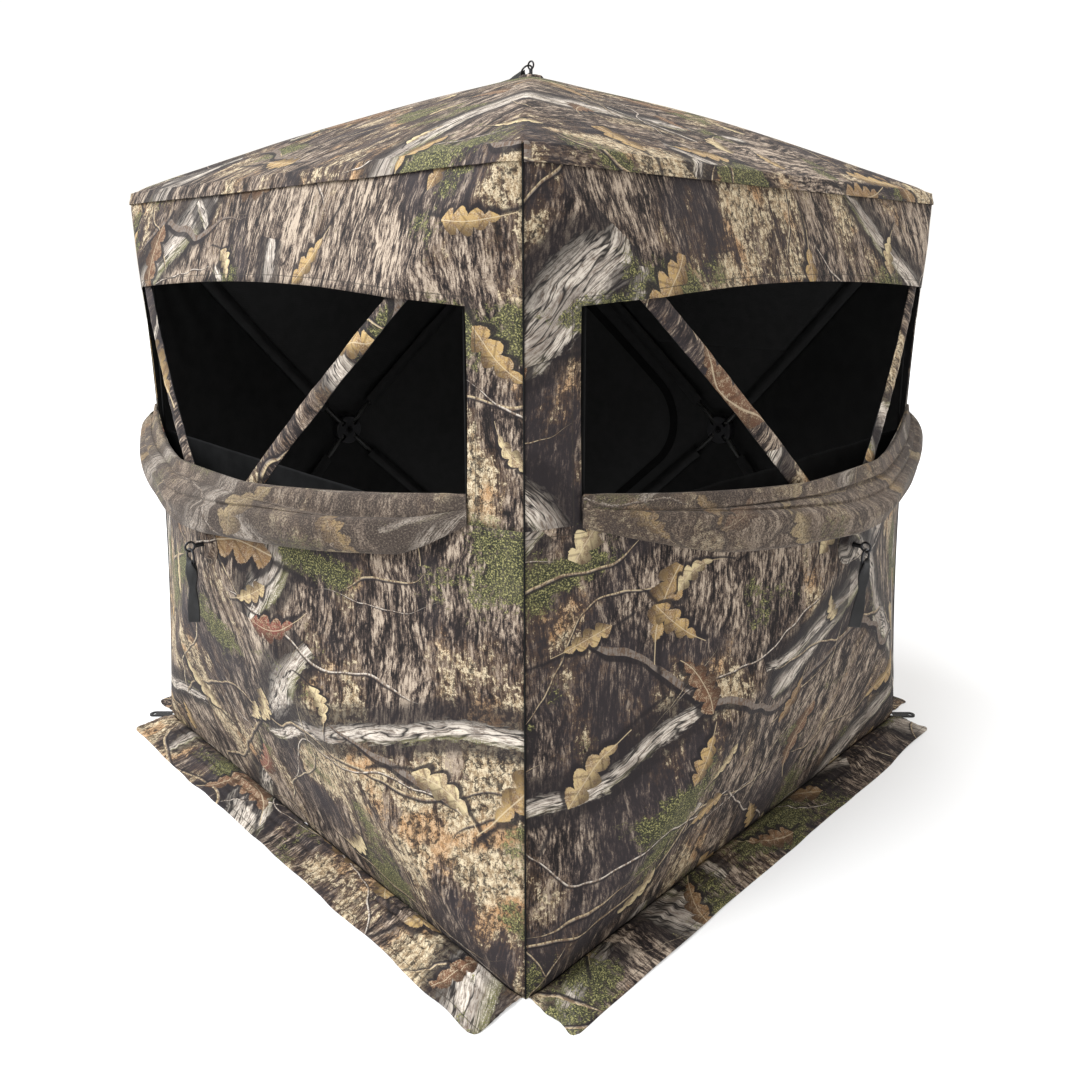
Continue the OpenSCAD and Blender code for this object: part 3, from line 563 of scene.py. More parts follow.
    # leaves: one in some cells of a scattered pattern, turned, bent and coloured at random
    def leaves(colour, scale, length, seed, chance):
        cells = net.node("ShaderNodeTexVoronoi", dict(voronoi_dimensions="2D", feature="F1"),
                         {"Vector": net.combine(x + seed, y + seed * 0.7), "Scale": scale, "Randomness": 0.85})
        outs = cells.socket.node.outputs
        cx, cy, _ = net.split(Link(net, outs["Position"]))
        turnShare, toneShare, luck = net.split(Link(net, outs["Color"]))
        dx, dy = x + seed - cx, y + seed * 0.7 - cy
        turn = turnShare * 6.283
        cosT, sinT = turn.math("COSINE"), turn.math("SINE")
        size = (0.75 + toneShare * 0.5) * length
        a, b = (dx * cosT + dy * sinT) / size, (dy * cosT - dx * sinT) / size
        b = b + a * a * (toneShare - 0.5) * 0.7 + (wander - 0.5) * 0.5
        there = luck < chance
        beside = abs(b)
        lobes = abs((a * 6.2 + b.math("SIGN") * 0.4 + beside * 2.4).math("SINE")).math("POWER", 0.75)
        outline = (1.0 - a * a).math("MAXIMUM", 0.0).math("POWER", 0.7) * (0.17 + lobes * 0.27) * (0.95 + a * 0.35)
        outline = outline + (mottle - 0.5) * 0.16
        body = (outline - beside).ramp(0.0, 0.020) * there * (abs(a) < 0.99)
        stem = (0.018 - beside).ramp(0.0, 0.01) * (a < -0.9) * (a > -1.45) * there
        veins = (a * 12.4 - beside * 10.0 + 1.0).math("SINE").ramp(0.80, 1.0) * 0.5
        rib = (0.020 - beside).ramp(0.0, 0.012)
        tone = net.mix(toneShare.ramp(0.25, 0.50), c["leafTan"], c["leafGold"])
        tone = net.mix(toneShare.ramp(0.66, 0.80), tone, c["leafRust"])
        tone = net.mix(toneShare > 0.96, tone, c["leafRed"])
        tone = net.mix((mottle * 0.6 + streak * 0.4).ramp(0.44, 0.58) * 0.75, tone, c["leafRust"])
        tone = net.mix((grain * 0.5 + mottle * 0.5).ramp(0.50, 0.60) * 0.45, tone, c["tanPale"])
        tone = net.mix((b * 1.6 + 0.5).ramp(0.25, 1.05) * 0.75, tone, c["leafDark"])
        tone = net.mix(veins * 0.8, tone, c["leafDark"])
        tone = net.mix(rib * 0.5, tone, c["tanPale"])
        fall = (outline + 0.08 - abs(b + 0.10)).ramp(-0.05, 0.07) * there
        colour = net.mix(fall * 0.9, colour, c["shadow"])
        colour = net.mix(stem * 0.8, colour, c["twig"])
        return net.mix(body, colour, tone)

    for kind in c["leaves"]:
        colour = leaves(colour, *kind)
    return colour, fibre


# where a point lies on its own piece of cloth, in metres
def clothPoint(net):
    x, y, _ = net.split(net.node("ShaderNodeUVMap", dict(uv_map="cloth")))
    return x, y


# a plain weave: one sine wave along each thread, multiplied
def weave(x, y, pitch):
    return (x * (2 * math.pi / pitch)).math("SINE") * (y * (2 * math.pi / pitch)).math("SINE")


# printed shell cloth: weave and crinkles in its bump, and a line of stitches inside each hem
def camoFabric():
    net = Net("camouflageFabric")
    x, y = clothPoint(net)
    colour, fibre = camoColour(net, x, y)
    hem = net.node("ShaderNodeAttribute", dict(attribute_name="hem"), None, out=2)
    stitch = (abs(hem - 0.014) * -1.0 + 0.0014).ramp(0.0, 0.0008)
    colour = net.mix(stitch * 0.6, colour, (0.03, 0.025, 0.02))
    crinkle = net.noise(net.combine(x, y), 34.0, 4.0, 0.6)
    bump = net.bump(0.35, 0.0004, weave(x, y, 0.0016) + (crinkle * 3.0 - stitch * 2.0))
    return net.surface(colour, 0.76 + (fibre - 0.5) * 0.12, bump,
                       Specular_IOR_Level=0.15, Sheen_Weight=0.015, Sheen_Roughness=0.4)


# printed open mesh: the print blurred and dulled, with pale threads, and painted shade in the gaps and holes between
# them
def camoMeshCloth():
    net = Net("camouflageMesh")
    x, y = clothPoint(net)
    blur = net.noise(net.combine(x, y), 160.0, 2.0)
    colour, _ = camoColour(net, x + (blur - 0.5) * 0.008, y + (blur - 0.5) * 0.008)
    thread = net.noise(net.combine(x, y), 310.0, 3.0, 0.8)
    haze = net.mix(0.48, colour, (0.082, 0.060, 0.045))
    haze = net.mix(thread.ramp(0.53, 0.68) * 0.42, haze, (0.25, 0.205, 0.160))
    # painted shade in the gaps between the threads
    haze = net.mix((1.0 - thread).ramp(0.49, 0.62) * 0.70, haze, (0.018, 0.013, 0.011))
    hole = weave(x, y, 0.0024).ramp(0.0, 0.7)
    # painted shade in the holes of the weave
    haze = net.mix(hole * 0.35, haze, (0.026, 0.021, 0.018))
    bump = net.bump(0.4, 0.0006, hole + net.noise(net.combine(x, y), 60.0, 4.0) * 2.0)
    return net.surface(haze, 0.85, bump, Specular_IOR_Level=0.2, Sheen_Weight=0.06)


# black woven cloth: a sine wave of the thread's pitch along each axis, and soft folds whose raised parts carry a
# painted highlight
def blackCloth(name, tone, pitch, roughness, strength=0.4, shine=0.3):
    net = Net(name)
    at = net.node("ShaderNodeTexCoord", out=3)
    x, y, z = ((axis * (2 * math.pi / pitch)).math("SINE") for axis in net.split(at))
    foldAndHighlight = net.noise(at, 28.0, 4.0, dimensions="3D")
    # painted highlight: the cloth is up to 1.7 times lighter where the fold's bump stands higher
    colour = net.mix(foldAndHighlight.ramp(0.3, 0.7), (tone, tone, tone * 1.04), (tone * 1.7, tone * 1.7, tone * 1.75))
    bump = net.bump(strength, 0.0004, (x + y + z) * 0.4 + foldAndHighlight * 3.0)
    return net.surface(colour, roughness + (foldAndHighlight - 0.5) * 0.15, bump, Specular_IOR_Level=shine)


# a hard finish: fine specks in the bump, broad changes of tone and gloss, and worn specks where given
def hardMaterial(name, colour, roughness, metallic=0.0, grain=400.0, strength=0.15, wear=None):
    net = Net(name)
    at = net.node("ShaderNodeTexCoord", out=3)
    speck, broad = (net.noise(at, scale, 3.0, dimensions="3D") for scale in (grain, 30.0))
    tone = net.mix(broad.ramp(0.35, 0.7), colour, tuple(v * 1.5 for v in colour))
    if wear:
        tone = net.mix(speck.ramp(0.66, 0.74) * 0.5, tone, wear)
    return net.surface(tone, roughness + (broad - 0.5) * 0.2, net.bump(strength, 0.0003, speck), Metallic=metallic)


fabric, meshCloth = camoFabric(), camoMeshCloth()
lining = blackCloth("blackCoating", tone=0.0075, pitch=0.0018, roughness=0.58)
coverCloth = blackCloth("blackCoverCloth", tone=0.0050, pitch=0.0016, roughness=0.85, shine=0.08)
tape = blackCloth("blackTape", tone=0.0045, pitch=0.0009, roughness=0.85, strength=0.6, shine=0.12)
webbing = blackCloth("blackWebbing", tone=0.013, pitch=0.0012, roughness=0.62, strength=0.9)
moulding = hardMaterial("blackMoulding", (0.014, 0.014, 0.016), 0.5)
steel = hardMaterial("blackSteel", (0.022, 0.022, 0.024), 0.36, metallic=0.75, wear=(0.25, 0.24, 0.22))
rodFinish = hardMaterial("fibreglassRod", (0.030, 0.030, 0.028), 0.34, grain=900.0, strength=0.1)
print("stage: materials made")

# walls and roof: heights from here on are measured from the wall hubs
half = blind["half"]
upReach, downReach = wallShape["up"], -wallShape["down"]
seamY, sillY, topY = (window[k] - blind["hub"] for k in ("seam", "sill", "top"))


# the window's top edge falls, and its sill rises, by the square of the way out to the jamb
def windowTop(x):
    return topY - window["topDrop"] * (x / window["half"]) ** 2


def windowSill(x):
    return sillY + window["sillRise"] * (x / window["half"]) ** 2


cornerTop, cornerSill = float(windowTop(window["half"])), float(windowSill(window["half"]))


# half the window's width at a height: the slack jambs come in a little towards the sill
def jambAt(y):
    return window["half"] - window["jambIn"] * np.clip((cornerTop - y) / (cornerTop - sillY), 0, 1)


# above 0 outside the window and above the seam
def upperArea(x, y):
    return np.maximum(np.abs(x) - jambAt(y), y - windowTop(np.minimum(np.abs(x), window["half"])))


# above 0 under the seam and, between the jambs, under the sill
def lowerArea(x, y):
    return np.maximum(seamY - y, np.minimum(windowSill(x) - y, jambAt(y) - np.abs(x)))


jambs = [-half, -window["half"], window["half"], half]
panels = {}
for face in ("front", "right"):
    panels[face + "_wall_upper"] = clothPanel(face + "UpperWall", face, jambs, [seamY, cornerTop, upReach], upperArea)
    panels[face + "_wall_lower"] = clothPanel(face + "LowerWall", face, jambs, [downReach, seamY, cornerSill + 0.002],
                                              lowerArea, printShift=(0.61, -0.83))

# the door's hinge line is a stile's width inside the corner seam; its cloth laps over the wall there
door = dict(reach=0.185, round=0.200, halfHeight=0.560, hingeX=half - 0.022 - 0.046, slit=0.002,
            overlap=0.012, lift=0.0020, bend=0.010)
vent = dict(low=1.030 - blind["hub"], high=1.300 - blind["hub"], side=0.060, coverOver=0.022, coverHalf=0.63,
            coverUnder=0.0045)


# distance inside the door's D: the hull of a circle and an upright line some way past the hinge
def insideDoor(x, y, past=0.0):
    cx, r = door["reach"] + door["round"], door["round"]
    ex, ey = door["hingeX"] - cx, door["halfHeight"]
    tilt = math.atan2(ey, ex) + math.acos(r / math.hypot(ex, ey))      # direction of the tangent point
    edge = r - ((x - cx) * math.cos(tilt) + np.abs(y) * math.sin(tilt))
    atRound = np.arctan2(np.abs(y), x - cx) > tilt
    return np.minimum(np.where(atRound, r - np.hypot(x - cx, y), edge), door["hingeX"] + past - x)


# distance inside the vent: an upside-down trapezium with sides at 45 degrees
def insideVent(x, y):
    slope = (np.minimum(y, 1) - vent["side"] - np.abs(x)) / math.sqrt(2)
    return np.minimum(np.minimum(y - vent["low"], vent["high"] - y), slope)


panels["back_wall"] = clothPanel("backWall", "back", [-half, -window["half"], window["half"], door["hingeX"], half],
                                 [downReach, -door["halfHeight"], vent["low"], door["halfHeight"], vent["high"],
                                  upReach],
                                 lambda x, y: -np.maximum(insideDoor(x, y), insideVent(x, y)))
panels["left_wall"] = clothPanel("leftWall", "left", jambs, [downReach, 0, upReach])
panels["roof_panel"] = clothPanel("roofPanel", "roof", jambs, jambs)


# above 0 on the door's cloth: within the D less its slit, and on past the hinge by the overlap
def doorArea(x, y):
    return np.minimum(insideDoor(x, y, 1.0) - door["slit"], door["hingeX"] + door["overlap"] - x)


doorPiece = clothPanel("doorPanel", "back", [door["reach"] - 0.01, window["half"], door["hingeX"], half - 0.030],
                       [-door["halfHeight"] - 0.02, 0, door["halfHeight"] + 0.02], doorArea,
                       lift=lambda x: door["lift"] * smooth((x - door["hingeX"] + 0.006) / 0.005))
for node, piece in panels.items():
    dress(piece, [fabric, lining])
    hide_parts(node)
    followHub(piece, node.split("_")[0])
dress(doorPiece, [fabric, lining])
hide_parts("door_panel")
tuple(placed("back", door["hingeX"] + door["bend"], 0, 0.03))
tuple(placed("back", door["hingeX"] - door["bend"], 0, 0.03))
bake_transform(doorPiece)
print("stage: walls and roof made")

# poles in their sleeves; seat is the cloth and the air between a hub's inner casting and the shell's outside
pole = dict(pinCircle=0.032, tipInset=0.040, tipDepth=0.017, hubThick=0.028, seat=0.0023, ferrule=0.075, tip=0.024)
sleeve = dict(halfWidth=0.020, halfThick=0.0072, hem=0.0009, fromFerrule=0.015, fromTip=0.030, rows=90, around=28)


# a pole's course in its own upright plane: an arc of the bow's height over the line from its pin to its tip
def poleLine(face, k):
    shape = faceShapes[face]
    toX = shape["w"] * (1 if k in (1, 4) else -1)
    toY = shape["up"] if k <= 2 else -shape["down"]
    far = math.hypot(toX, toY)
    run = far - pole["tipInset"] - pole["pinCircle"]
    pinOut = shape["bulge"] - pole["seat"] - pole["hubThick"] / 2
    tipOut = float(crease(shape, 1 - pole["tipInset"] / far)) - pole["tipDepth"]
    length = math.hypot(run, pinOut - tipOut)
    return dict(turn=math.atan2(toY, toX), pinOut=pinOut, tilt=math.atan2(pinOut - tipOut, run), length=length,
                radius=((length / 2) ** 2 + blind["poleBow"] ** 2) / (2 * blind["poleBow"]))


# a point beside a pole: share along its arc, offset across it and offset outwards from it
def beside(face, k, share, across, out):
    line = poleLine(face, k)
    reach = math.asin(line["length"] / 2 / line["radius"])
    angle = -reach + 2 * reach * share
    x = line["length"] / 2 + (line["radius"] + out) * np.sin(angle)
    z = blind["poleBow"] - line["radius"] + (line["radius"] + out) * np.cos(angle)
    c, s = math.cos(line["tilt"]), math.sin(line["tilt"])
    x, z = x * c + z * s + pole["pinCircle"], z * c - x * s + line["pinOut"]
    c, s = math.cos(line["turn"]), math.sin(line["turn"])
    return placed(face, x * c - across * s, x * s + across * c, z)


# flat tube of cloth round a rod: wide seams at both sides, full in the middle, a little uneven
def sleeveParts(face, k):
    length = poleLine(face, k)["length"]
    start = (pole["ferrule"] + sleeve["fromFerrule"]) / length
    end = 1 - (pole["tip"] + sleeve["fromTip"]) / length
    share = np.linspace(start, end, sleeve["rows"])[:, None]
    t = np.linspace(0, 2 * np.pi, sleeve["around"], endpoint=False)[None, :]
    seed = 7 * k + faceNames.index(face)
    width = sleeve["halfWidth"] * (1 + 0.07 * softNoise(share * 12, 0.0, 1.0, seed))
    across = width * np.cos(t)
    full = np.clip(1 - np.abs(np.cos(t)) ** 1.3, 0, 1) ** 0.85
    out = np.sign(np.sin(t)) * (sleeve["hem"] + (sleeve["halfThick"] - sleeve["hem"]) * full)
    out = out + 0.0009 * softNoise(share * 60, t * 1.2, 1.0, seed + 50)
    uv = sideBySide(share * length + 17 + 1.7 * seed, t * 0.013 + seed)
    faces = gridFaces(sleeve["rows"], sleeve["around"], wrapCols=True)[:, ::-1]
    return beside(face, k, share, across, out), faces, uv


# the sleeves that cross the windows are printed outside and black inside, the others are black
for face in faceNames:
    for part, ks in (("Upper", (1, 2)), ("Lower", (3, 4))):
        piece = makePiece(face + "Sleeves" + part, *joined([sleeveParts(face, k) for k in ks]))
        if part == "Upper" and face in ("front", "right"):
            dress(piece, [fabric, lining])
            place = np.arange(len(piece.data.polygons)) % sleeve["around"]
            piece.data.polygons.foreach_set("material_index", (place >= sleeve["around"] // 2).astype(np.int32))
        else:
            dress(piece, [lining])
        if face == "front" and part == "Upper":
            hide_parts("pole_sleeves")
        followHub(piece, face, pole["tipDepth"])

# rods with their ferrules and tips take the solids' own shape
for face in faceNames:
    built = bmesh.new()
    for k in range(1, 5):
        built.from_mesh(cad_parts[f"{face}_pole_{k}"].data)
    bmesh.ops.remove_doubles(built, verts=built.verts, dist=1e-6)
    mesh = bpy.data.meshes.new(face + "Poles")
    built.to_mesh(mesh)
    built.free()
    piece = placeInScene(mesh.name, mesh)
    mesh.polygons.foreach_set("use_smooth", np.full(len(mesh.polygons), True))
    mesh.set_sharp_from_angle(angle=math.radians(32))
    dress(piece, [rodFinish])
    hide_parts(*[f"{face}_pole_{k}" for k in range(1, 5)])
    followHub(piece, face, pole["tipDepth"])
print("stage: poles and sleeves made")

# window mesh folded down outside the sill: where it ends on both sides of the wall's middle, how far it
# hangs, how full it is, and how deep its pleats, slanting folds, crumples and tuck are
pouch = dict(far=0.700, near=0.617, drop=0.108, farDrop=0.074, full=0.050, lip=0.003, air=0.0045, hem=0.003,
             around=110, rows=250, round=0.012, pleat=0.0070, drawn=0.0028, crumple=0.0026, tuck=0.008,
             foldFrom=0.692, foldTo=0.172)
# the end that is sewn into the jamb: its side, its drop, how far along that starts, and its hem
pouchNear = dict(front=dict(side=1, drop=0.052, run=0.125, hem=0.020),
                 right=dict(side=-1, drop=0.056, run=0.26, hem=0.006))


# the folded mesh hangs from the sill as a slack roll: a closed loop at each place along it, round at
# the far end and drawn flat into the jamb's seam at the near end
def pouchPiece(face):
    seed, end = 100 + faceNames.index(face), pouchNear[face]
    side, far, near = end["side"], pouch["far"], pouch["near"]
    taper = pouch["round"] * np.array([0, 0.04, 0.16, 0.36, 0.64])
    u = np.concatenate([taper - far, np.linspace(pouch["round"] - far, near - 0.004, pouch["rows"]),
                        [near - 0.002, near]])
    x = u * side
    toFar, toNear, left = np.clip(-u / far, 0, 1), np.clip(u / near, 0, 1), near - u
    plump = np.sqrt(np.maximum(0.0004, 1 - toFar ** 9))
    sewn = smooth(left / 0.040)
    slim = 0.10 + 0.90 * smooth(left / (0.20 + end["run"]))

    # how far it hangs, and how full it is, along the sill
    top = windowSill(np.minimum(np.abs(x), window["half"])) + 0.0003
    drop = (pouch["drop"] + (pouch["farDrop"] - pouch["drop"]) * toFar ** 2
            + (end["drop"] - pouch["drop"]) * np.clip(1 - left / end["run"], 0, 1) ** 1.3)
    drop = drop * (0.97 + 0.05 * softNoise(x, 0.0, 4.0, seed)) * (0.45 + 0.55 * plump)
    low = top - drop
    full = pouch["full"] * plump * slim * (0.2 + 0.8 * sewn) * (0.90 + 0.16 * softNoise(x, 0.5, 5.0, seed + 1))
    hem = pouch["hem"] + end["hem"] * smooth((toNear - 0.15) / 0.5)
    air = pouch["air"] * (0.15 + 0.85 * sewn)

    # the loop: down behind, round the bottom, up in front and over the sill's hem
    cloth = lambda y: clothHeight(face, x, y)
    over = lambda y, out: (y, cloth(y) + air + out)
    inJamb = np.abs(x) > window["half"] - window["jambIn"] - 0.003
    ring = [(top, np.where(inJamb, cloth(top) + 0.0003, cloth(top) - 0.003)), over(top, 0), over(top - drop * 0.3, 0),
            over(top - drop * 0.65, 0), (low + 0.004, cloth(low) + air),
            (low - 0.002, cloth(low) + air + full * 0.45), (low + 0.012, cloth(low) + air + full * 0.95),
            (top - drop * 0.62, cloth(top - drop * 0.6) + air + full),
            (top - drop * 0.34 - hem * 0.3, cloth(top - drop * 0.34) + air + full * 0.72),
            over(top - 0.018 - hem, full * 0.34), over(top - 0.015 - hem, full * 0.22 + 0.0012 * sewn),
            (top - hem * 0.4 + pouch["lip"] * 0.6 * sewn, cloth(top) + air + 0.003 * sewn),
            (top + pouch["lip"] * sewn, cloth(top) + air * 0.4)]
    curve = closedCurve(np.stack([sideBySide(y, z) for y, z in ring], -2), pouch["around"])
    y, z = curve[..., 0], curve[..., 1]

    # folds of the front, where t runs round the loop
    t = np.arange(pouch["around"])[None, :] / pouch["around"]
    front = smooth((t - 0.40) / 0.08) * smooth((0.80 - t) / 0.08)
    xs, us = x[:, None], u[:, None]
    lean = 0.9 * softNoise(us, 0.3, 2.0, seed + 5)
    room = (plump * (0.35 + 0.65 * slim) * (0.2 + 0.8 * sewn))[:, None]
    pleat = softNoise(us * 0.6 + lean * 0.1, t * 9.0 + lean, 1.6, seed + 2) * pouch["pleat"]
    drawn = softNoise(us * 5.0 + t * 9.0, t * 2.5 - us, 2.2, seed + 9) * pouch["drawn"]
    crumple = softNoise(us * 2.2 + t * 3.0, t * 16, 2.4, seed + 3) * pouch["crumple"]
    tuckAt = 0.60 + 0.05 * smooth((us + 0.2) / 0.8) + 0.02 * softNoise(us, 0.0, 3.0, seed + 7)
    tuck = 0.003 * np.exp(-((t - tuckAt + 0.03) / 0.02) ** 2) - pouch["tuck"] * np.exp(-((t - tuckAt) / 0.012) ** 2)
    z = z + front * room * (pleat + crumple + drawn + tuck)
    y = y + front * room * 0.5 * pleat
    points = placed(face, xs, y, z)
    ox, oy = printPlace[face]
    uv = sideBySide(xs + ox + 1.3, t * 0.36 + oy + 3.1)
    whole = bpy.data.meshes.new("whole")
    whole.from_pydata(points.reshape(-1, 3).tolist(), [],
                      gridFaces(u.size, pouch["around"], wrapCols=True)[:, ::-side].tolist())
    normals = np.array([n.vector[:] for n in whole.vertex_normals]).reshape(points.shape)
    bpy.data.meshes.remove(whole)

    # two halves that meet in the middle, each with the normals of the whole roll
    middle = int(np.argmin(np.abs(u)))
    for part, rows, toEnd in (("Far", slice(0, middle + 1), -side), ("Near", slice(middle, None), side)):
        flat, faces = tubeParts(points[rows])
        piece = makePiece(face + "WindowMesh" + part, flat, [f[::-side] for f in faces], uv[rows])
        piece.data.normals_split_custom_set_from_vertices(normals[rows].reshape(-1, 3).tolist())
        dress(piece, [meshCloth])
        tuple(placed(face, toEnd * pouch["foldFrom"], seamY, 0))
        tuple(placed(face, toEnd * pouch["foldTo"], seamY, 0))
        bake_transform(piece)
        if part == "Near":
            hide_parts(face + "_mesh")


for face in ("front", "right"):
    pouchPiece(face)
print("stage: window mesh made")

binding = dict(height=0.030, proud=0.0026, flare=0.0030, thick=0.0014)


# eave binding, a strip over the top seam: it lies on the wall at its upper edge and stands off in waves
# towards its loose lower hem; the roof's print runs on over it
def bindingParts(i):
    face = faceNames[i]
    x = np.linspace(-half, half, 200)[:, None]
    t = np.array([0, 0.03, 0.1, 0.2, 0.3, 0.4, 0.5, 0.6, 0.7, 0.8, 0.9, 0.97, 1.0])[None, :]
    y = upReach + 0.0008 - t * binding["height"] * (1 + 0.05 * softNoise(x, 0.2, 9.0, 60 + i))
    px = x / half * sideEdge(face, y)
    loose = smooth(t / 0.5) * binding["flare"] * (0.5 + 0.5 * softNoise(x, 0.9, 7.0, 70 + i))
    loose = loose * smooth((half - np.abs(x)) / 0.05)
    z = clothHeight(face, px, np.minimum(y, upReach)) + binding["proud"] * smooth(t / 0.06 + 0.25) + loose
    over = half + t * binding["height"]
    c, s = math.cos(i * math.pi / 2), math.sin(i * math.pi / 2)
    ox, oy = printPlace["roof"]
    uv = sideBySide(px * c + over * s + ox, px * s - over * c + oy)
    return placed(face, px, y, z), gridFaces(*z.shape)[:, ::-1], uv


points, faces, uv = joined([bindingParts(i) for i in range(4)])
piece = makePiece("eaveBinding", points, faces, uv, attributes=dict(hem=np.ones(len(points))))
thicken(piece, binding["thick"])
dress(piece, [fabric])
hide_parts("eave_binding")
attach(piece, "shell")

piping = dict(radius=0.0016, proud=0.0004, sides=8)


# piping in a corner seam: a circle carried up along the seam, square to it
def pipingParts(face):
    y = np.linspace(downReach + 0.004, upReach - 0.002, 120)
    edge = sideEdge(face, y)
    line = placed(face, edge + piping["proud"], y, clothHeight(face, edge, y) + piping["proud"])
    ahead = np.gradient(line, axis=0)
    ahead /= np.linalg.norm(ahead, axis=1)[:, None]
    side = np.cross(ahead, np.array([1.0, 0.3, 0]))
    side /= np.linalg.norm(side, axis=1)[:, None]
    up = np.cross(side, ahead)
    t = np.linspace(0, 2 * np.pi, piping["sides"], endpoint=False)[None, :, None]
    return tubeParts(line[:, None, :] + piping["radius"] * (np.cos(t) * side[:, None] + np.sin(t) * up[:, None]))


points, faces, uv = joined([pipingParts(face) for face in faceNames[:4]])
piece = makePiece("cornerPiping", points, faces)
dress(piece, [tape])
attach(piece, "shell")

skirt = dict(width=0.110, puff=0.022, notch=0.007, hem=0.0022, round=0.016, thick=0.0018, rows=300, cols=26)


# ground skirt: b runs from the wall's foot to the outer hem; the height is a roll that dies out at both,
# times a crown and ripples that vary along the wall
def skirtParts(i):
    face, seed = faceNames[i], 200 + 9 * i
    b = np.linspace(0, 1, skirt["cols"])[None, :]
    tip = (np.maximum(b - 0.86, 0) / 0.14) ** 2          # the outer corners are rounded
    cut = skirt["round"] * (1 - np.sqrt(np.clip(1 - tip, 0, 1)))
    reach = half - skirt["notch"] - cut + 0.004 * softNoise(b * 2, 0.0, 1.5, seed + 6) * smooth(b / 0.5)
    x = np.linspace(-1, 1, skirt["rows"])[:, None] * reach
    root = half - 0.0008 + clothHeight(face, x, downReach + 0.004)
    width = skirt["width"] + 0.005 * softNoise(x, 0.1, 5.0, seed) + 0.003 * softNoise(x, 0.1, 17.0, seed + 8)
    crown = (0.62 + 0.38 * softNoise(x, 0.4, 4.6, seed + 1)) * (0.35 + 0.65 * smooth((half - np.abs(x)) / 0.14))
    roll = np.sin(np.pi * b ** 0.62) * (1 - 0.45 * b)
    ripple = 0.34 * softNoise(x + b * 0.12, b * 2.0, 9.0, seed + 2) * smooth(b / 0.25)
    lip = 0.004 * np.maximum(0, softNoise(x, 1.4, 6.5, seed + 3)) * smooth((b - 0.7) / 0.3)
    z = skirt["hem"] + skirt["puff"] * crown * roll * (1 + ripple) + lip
    crinkle = 0.0015 * softNoise(x * 3, b * 3, 9.0, seed + 4) + 0.0010 * softNoise(x * 7 + b, b * 5, 9.0, seed + 5)
    z = z + crinkle * roll
    out = root + (half + width - root) * b
    ox, oy = printPlace[face]
    return placed(face, x, z - blind["hub"], out - half), gridFaces(*x.shape), sideBySide(x + ox + 4.4, out + oy + 1.2)


points, faces, uv = joined([skirtParts(i) for i in range(4)])
toHem = np.tile((1 - np.linspace(0, 1, skirt["cols"])) * skirt["width"], 4 * skirt["rows"])
piece = makePiece("groundSkirts", points, faces, uv, attributes=dict(hem=toHem))
thicken(piece, skirt["thick"])
dress(piece, [fabric])
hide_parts("ground_skirts")
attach(piece, "shell")
print("stage: binding, piping and skirts made")

# window covers inside, lowered under the sills; hem is the radius of the tubes that run on the track cords
cover = dict(half=0.605, height=0.400, under=0.010, out=0.008, hem=0.0050, sag=0.004, thick=0.0008)


# a cover: a flat sheet with soft upright folds that fade at its sides, its top edge sagging by the square
# of the way to them, and a round hem down each side
def coverPiece(face):
    seed = 300 + faceNames.index(face)
    top = sillY - cover["under"]
    x = np.linspace(-cover["half"], cover["half"], 220)[None, :]
    y = np.linspace(top - cover["height"], top, 70)[:, None]
    fade = smooth((cover["half"] - np.abs(x)) / 0.06)
    z = cover["out"] + fade * (0.0045 * softNoise(x, y * 0.3, 11.0, seed) + 0.002 * softNoise(x, y, 16.0, seed + 1))
    sag = -cover["sag"] * (1 - (x / cover["half"]) ** 2) * (y - top + cover["height"]) / cover["height"]
    parts = [(placed(face, x, y + sag, z), gridFaces(*z.shape), sideBySide(x, y))]
    t = np.linspace(0, 2 * np.pi, 16, endpoint=False)[None, :]
    ys = np.linspace(top - cover["height"], top, 40)[:, None]
    for side in (-1, 1):
        tube = placed(face, side * cover["half"] + cover["hem"] * np.cos(t), ys,
                      cover["out"] + cover["hem"] * np.sin(t))
        parts.append((tube, gridFaces(40, 16, wrapCols=True)))
    piece = makePiece(face + "WindowCover", *joined(parts))
    thicken(piece, cover["thick"], offset=0.0)
    dress(piece, [coverCloth])
    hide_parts(face + "_cover")
    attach(piece, face + "_cover")
    tuple(outward(face))
    tuple(placed(face, 0, 0, -0.375))
    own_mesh(piece)


for face in ("front", "right"):
    coverPiece(face)
backCover = clothPanel("backWindowCover", "back", [-vent["coverHalf"], 0, vent["coverHalf"]],
                       [vent["low"] - vent["coverOver"], vent["high"] + vent["coverOver"]],
                       lambda x, y: insideVent(x, y) + vent["coverOver"], lift=-vent["coverUnder"])
dress(backCover, [coverCloth, lining])
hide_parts("back_window_cover")
followHub(backCover, "back", vent["coverUnder"])

# pull straps; the half widths are those at the given places along a strap
strap = dict(length=0.130, thick=0.0011, loopGap=0.0042, sewnGap=0.0014, rows=200, cupped=0.0016, curl=0.030,
             places=[0, 0.12, 0.26, 0.42, 0.78, 1.0], halfWidths=[0.0120, 0.0128, 0.0112, 0.0072, 0.0122, 0.0118])
ringSize = dict(eyeReach=0.038, eye=0.019, ring=0.030, wire=0.0045, air=0.0005, roofLean=45, strapLean=10)
# degrees of twist, where it starts and ends along the strap, and how far the end curls aside
strapTwist = dict(front=(-48, 0.0, 0.24, -0.15), right=(52, 0.0, 0.35, -0.95), back=(180, 0.25, 0.75, 0.0),
                  left=(180, 0.15, 0.7, 0.2), roof=(90, -0.25, 0.16, 0.0))


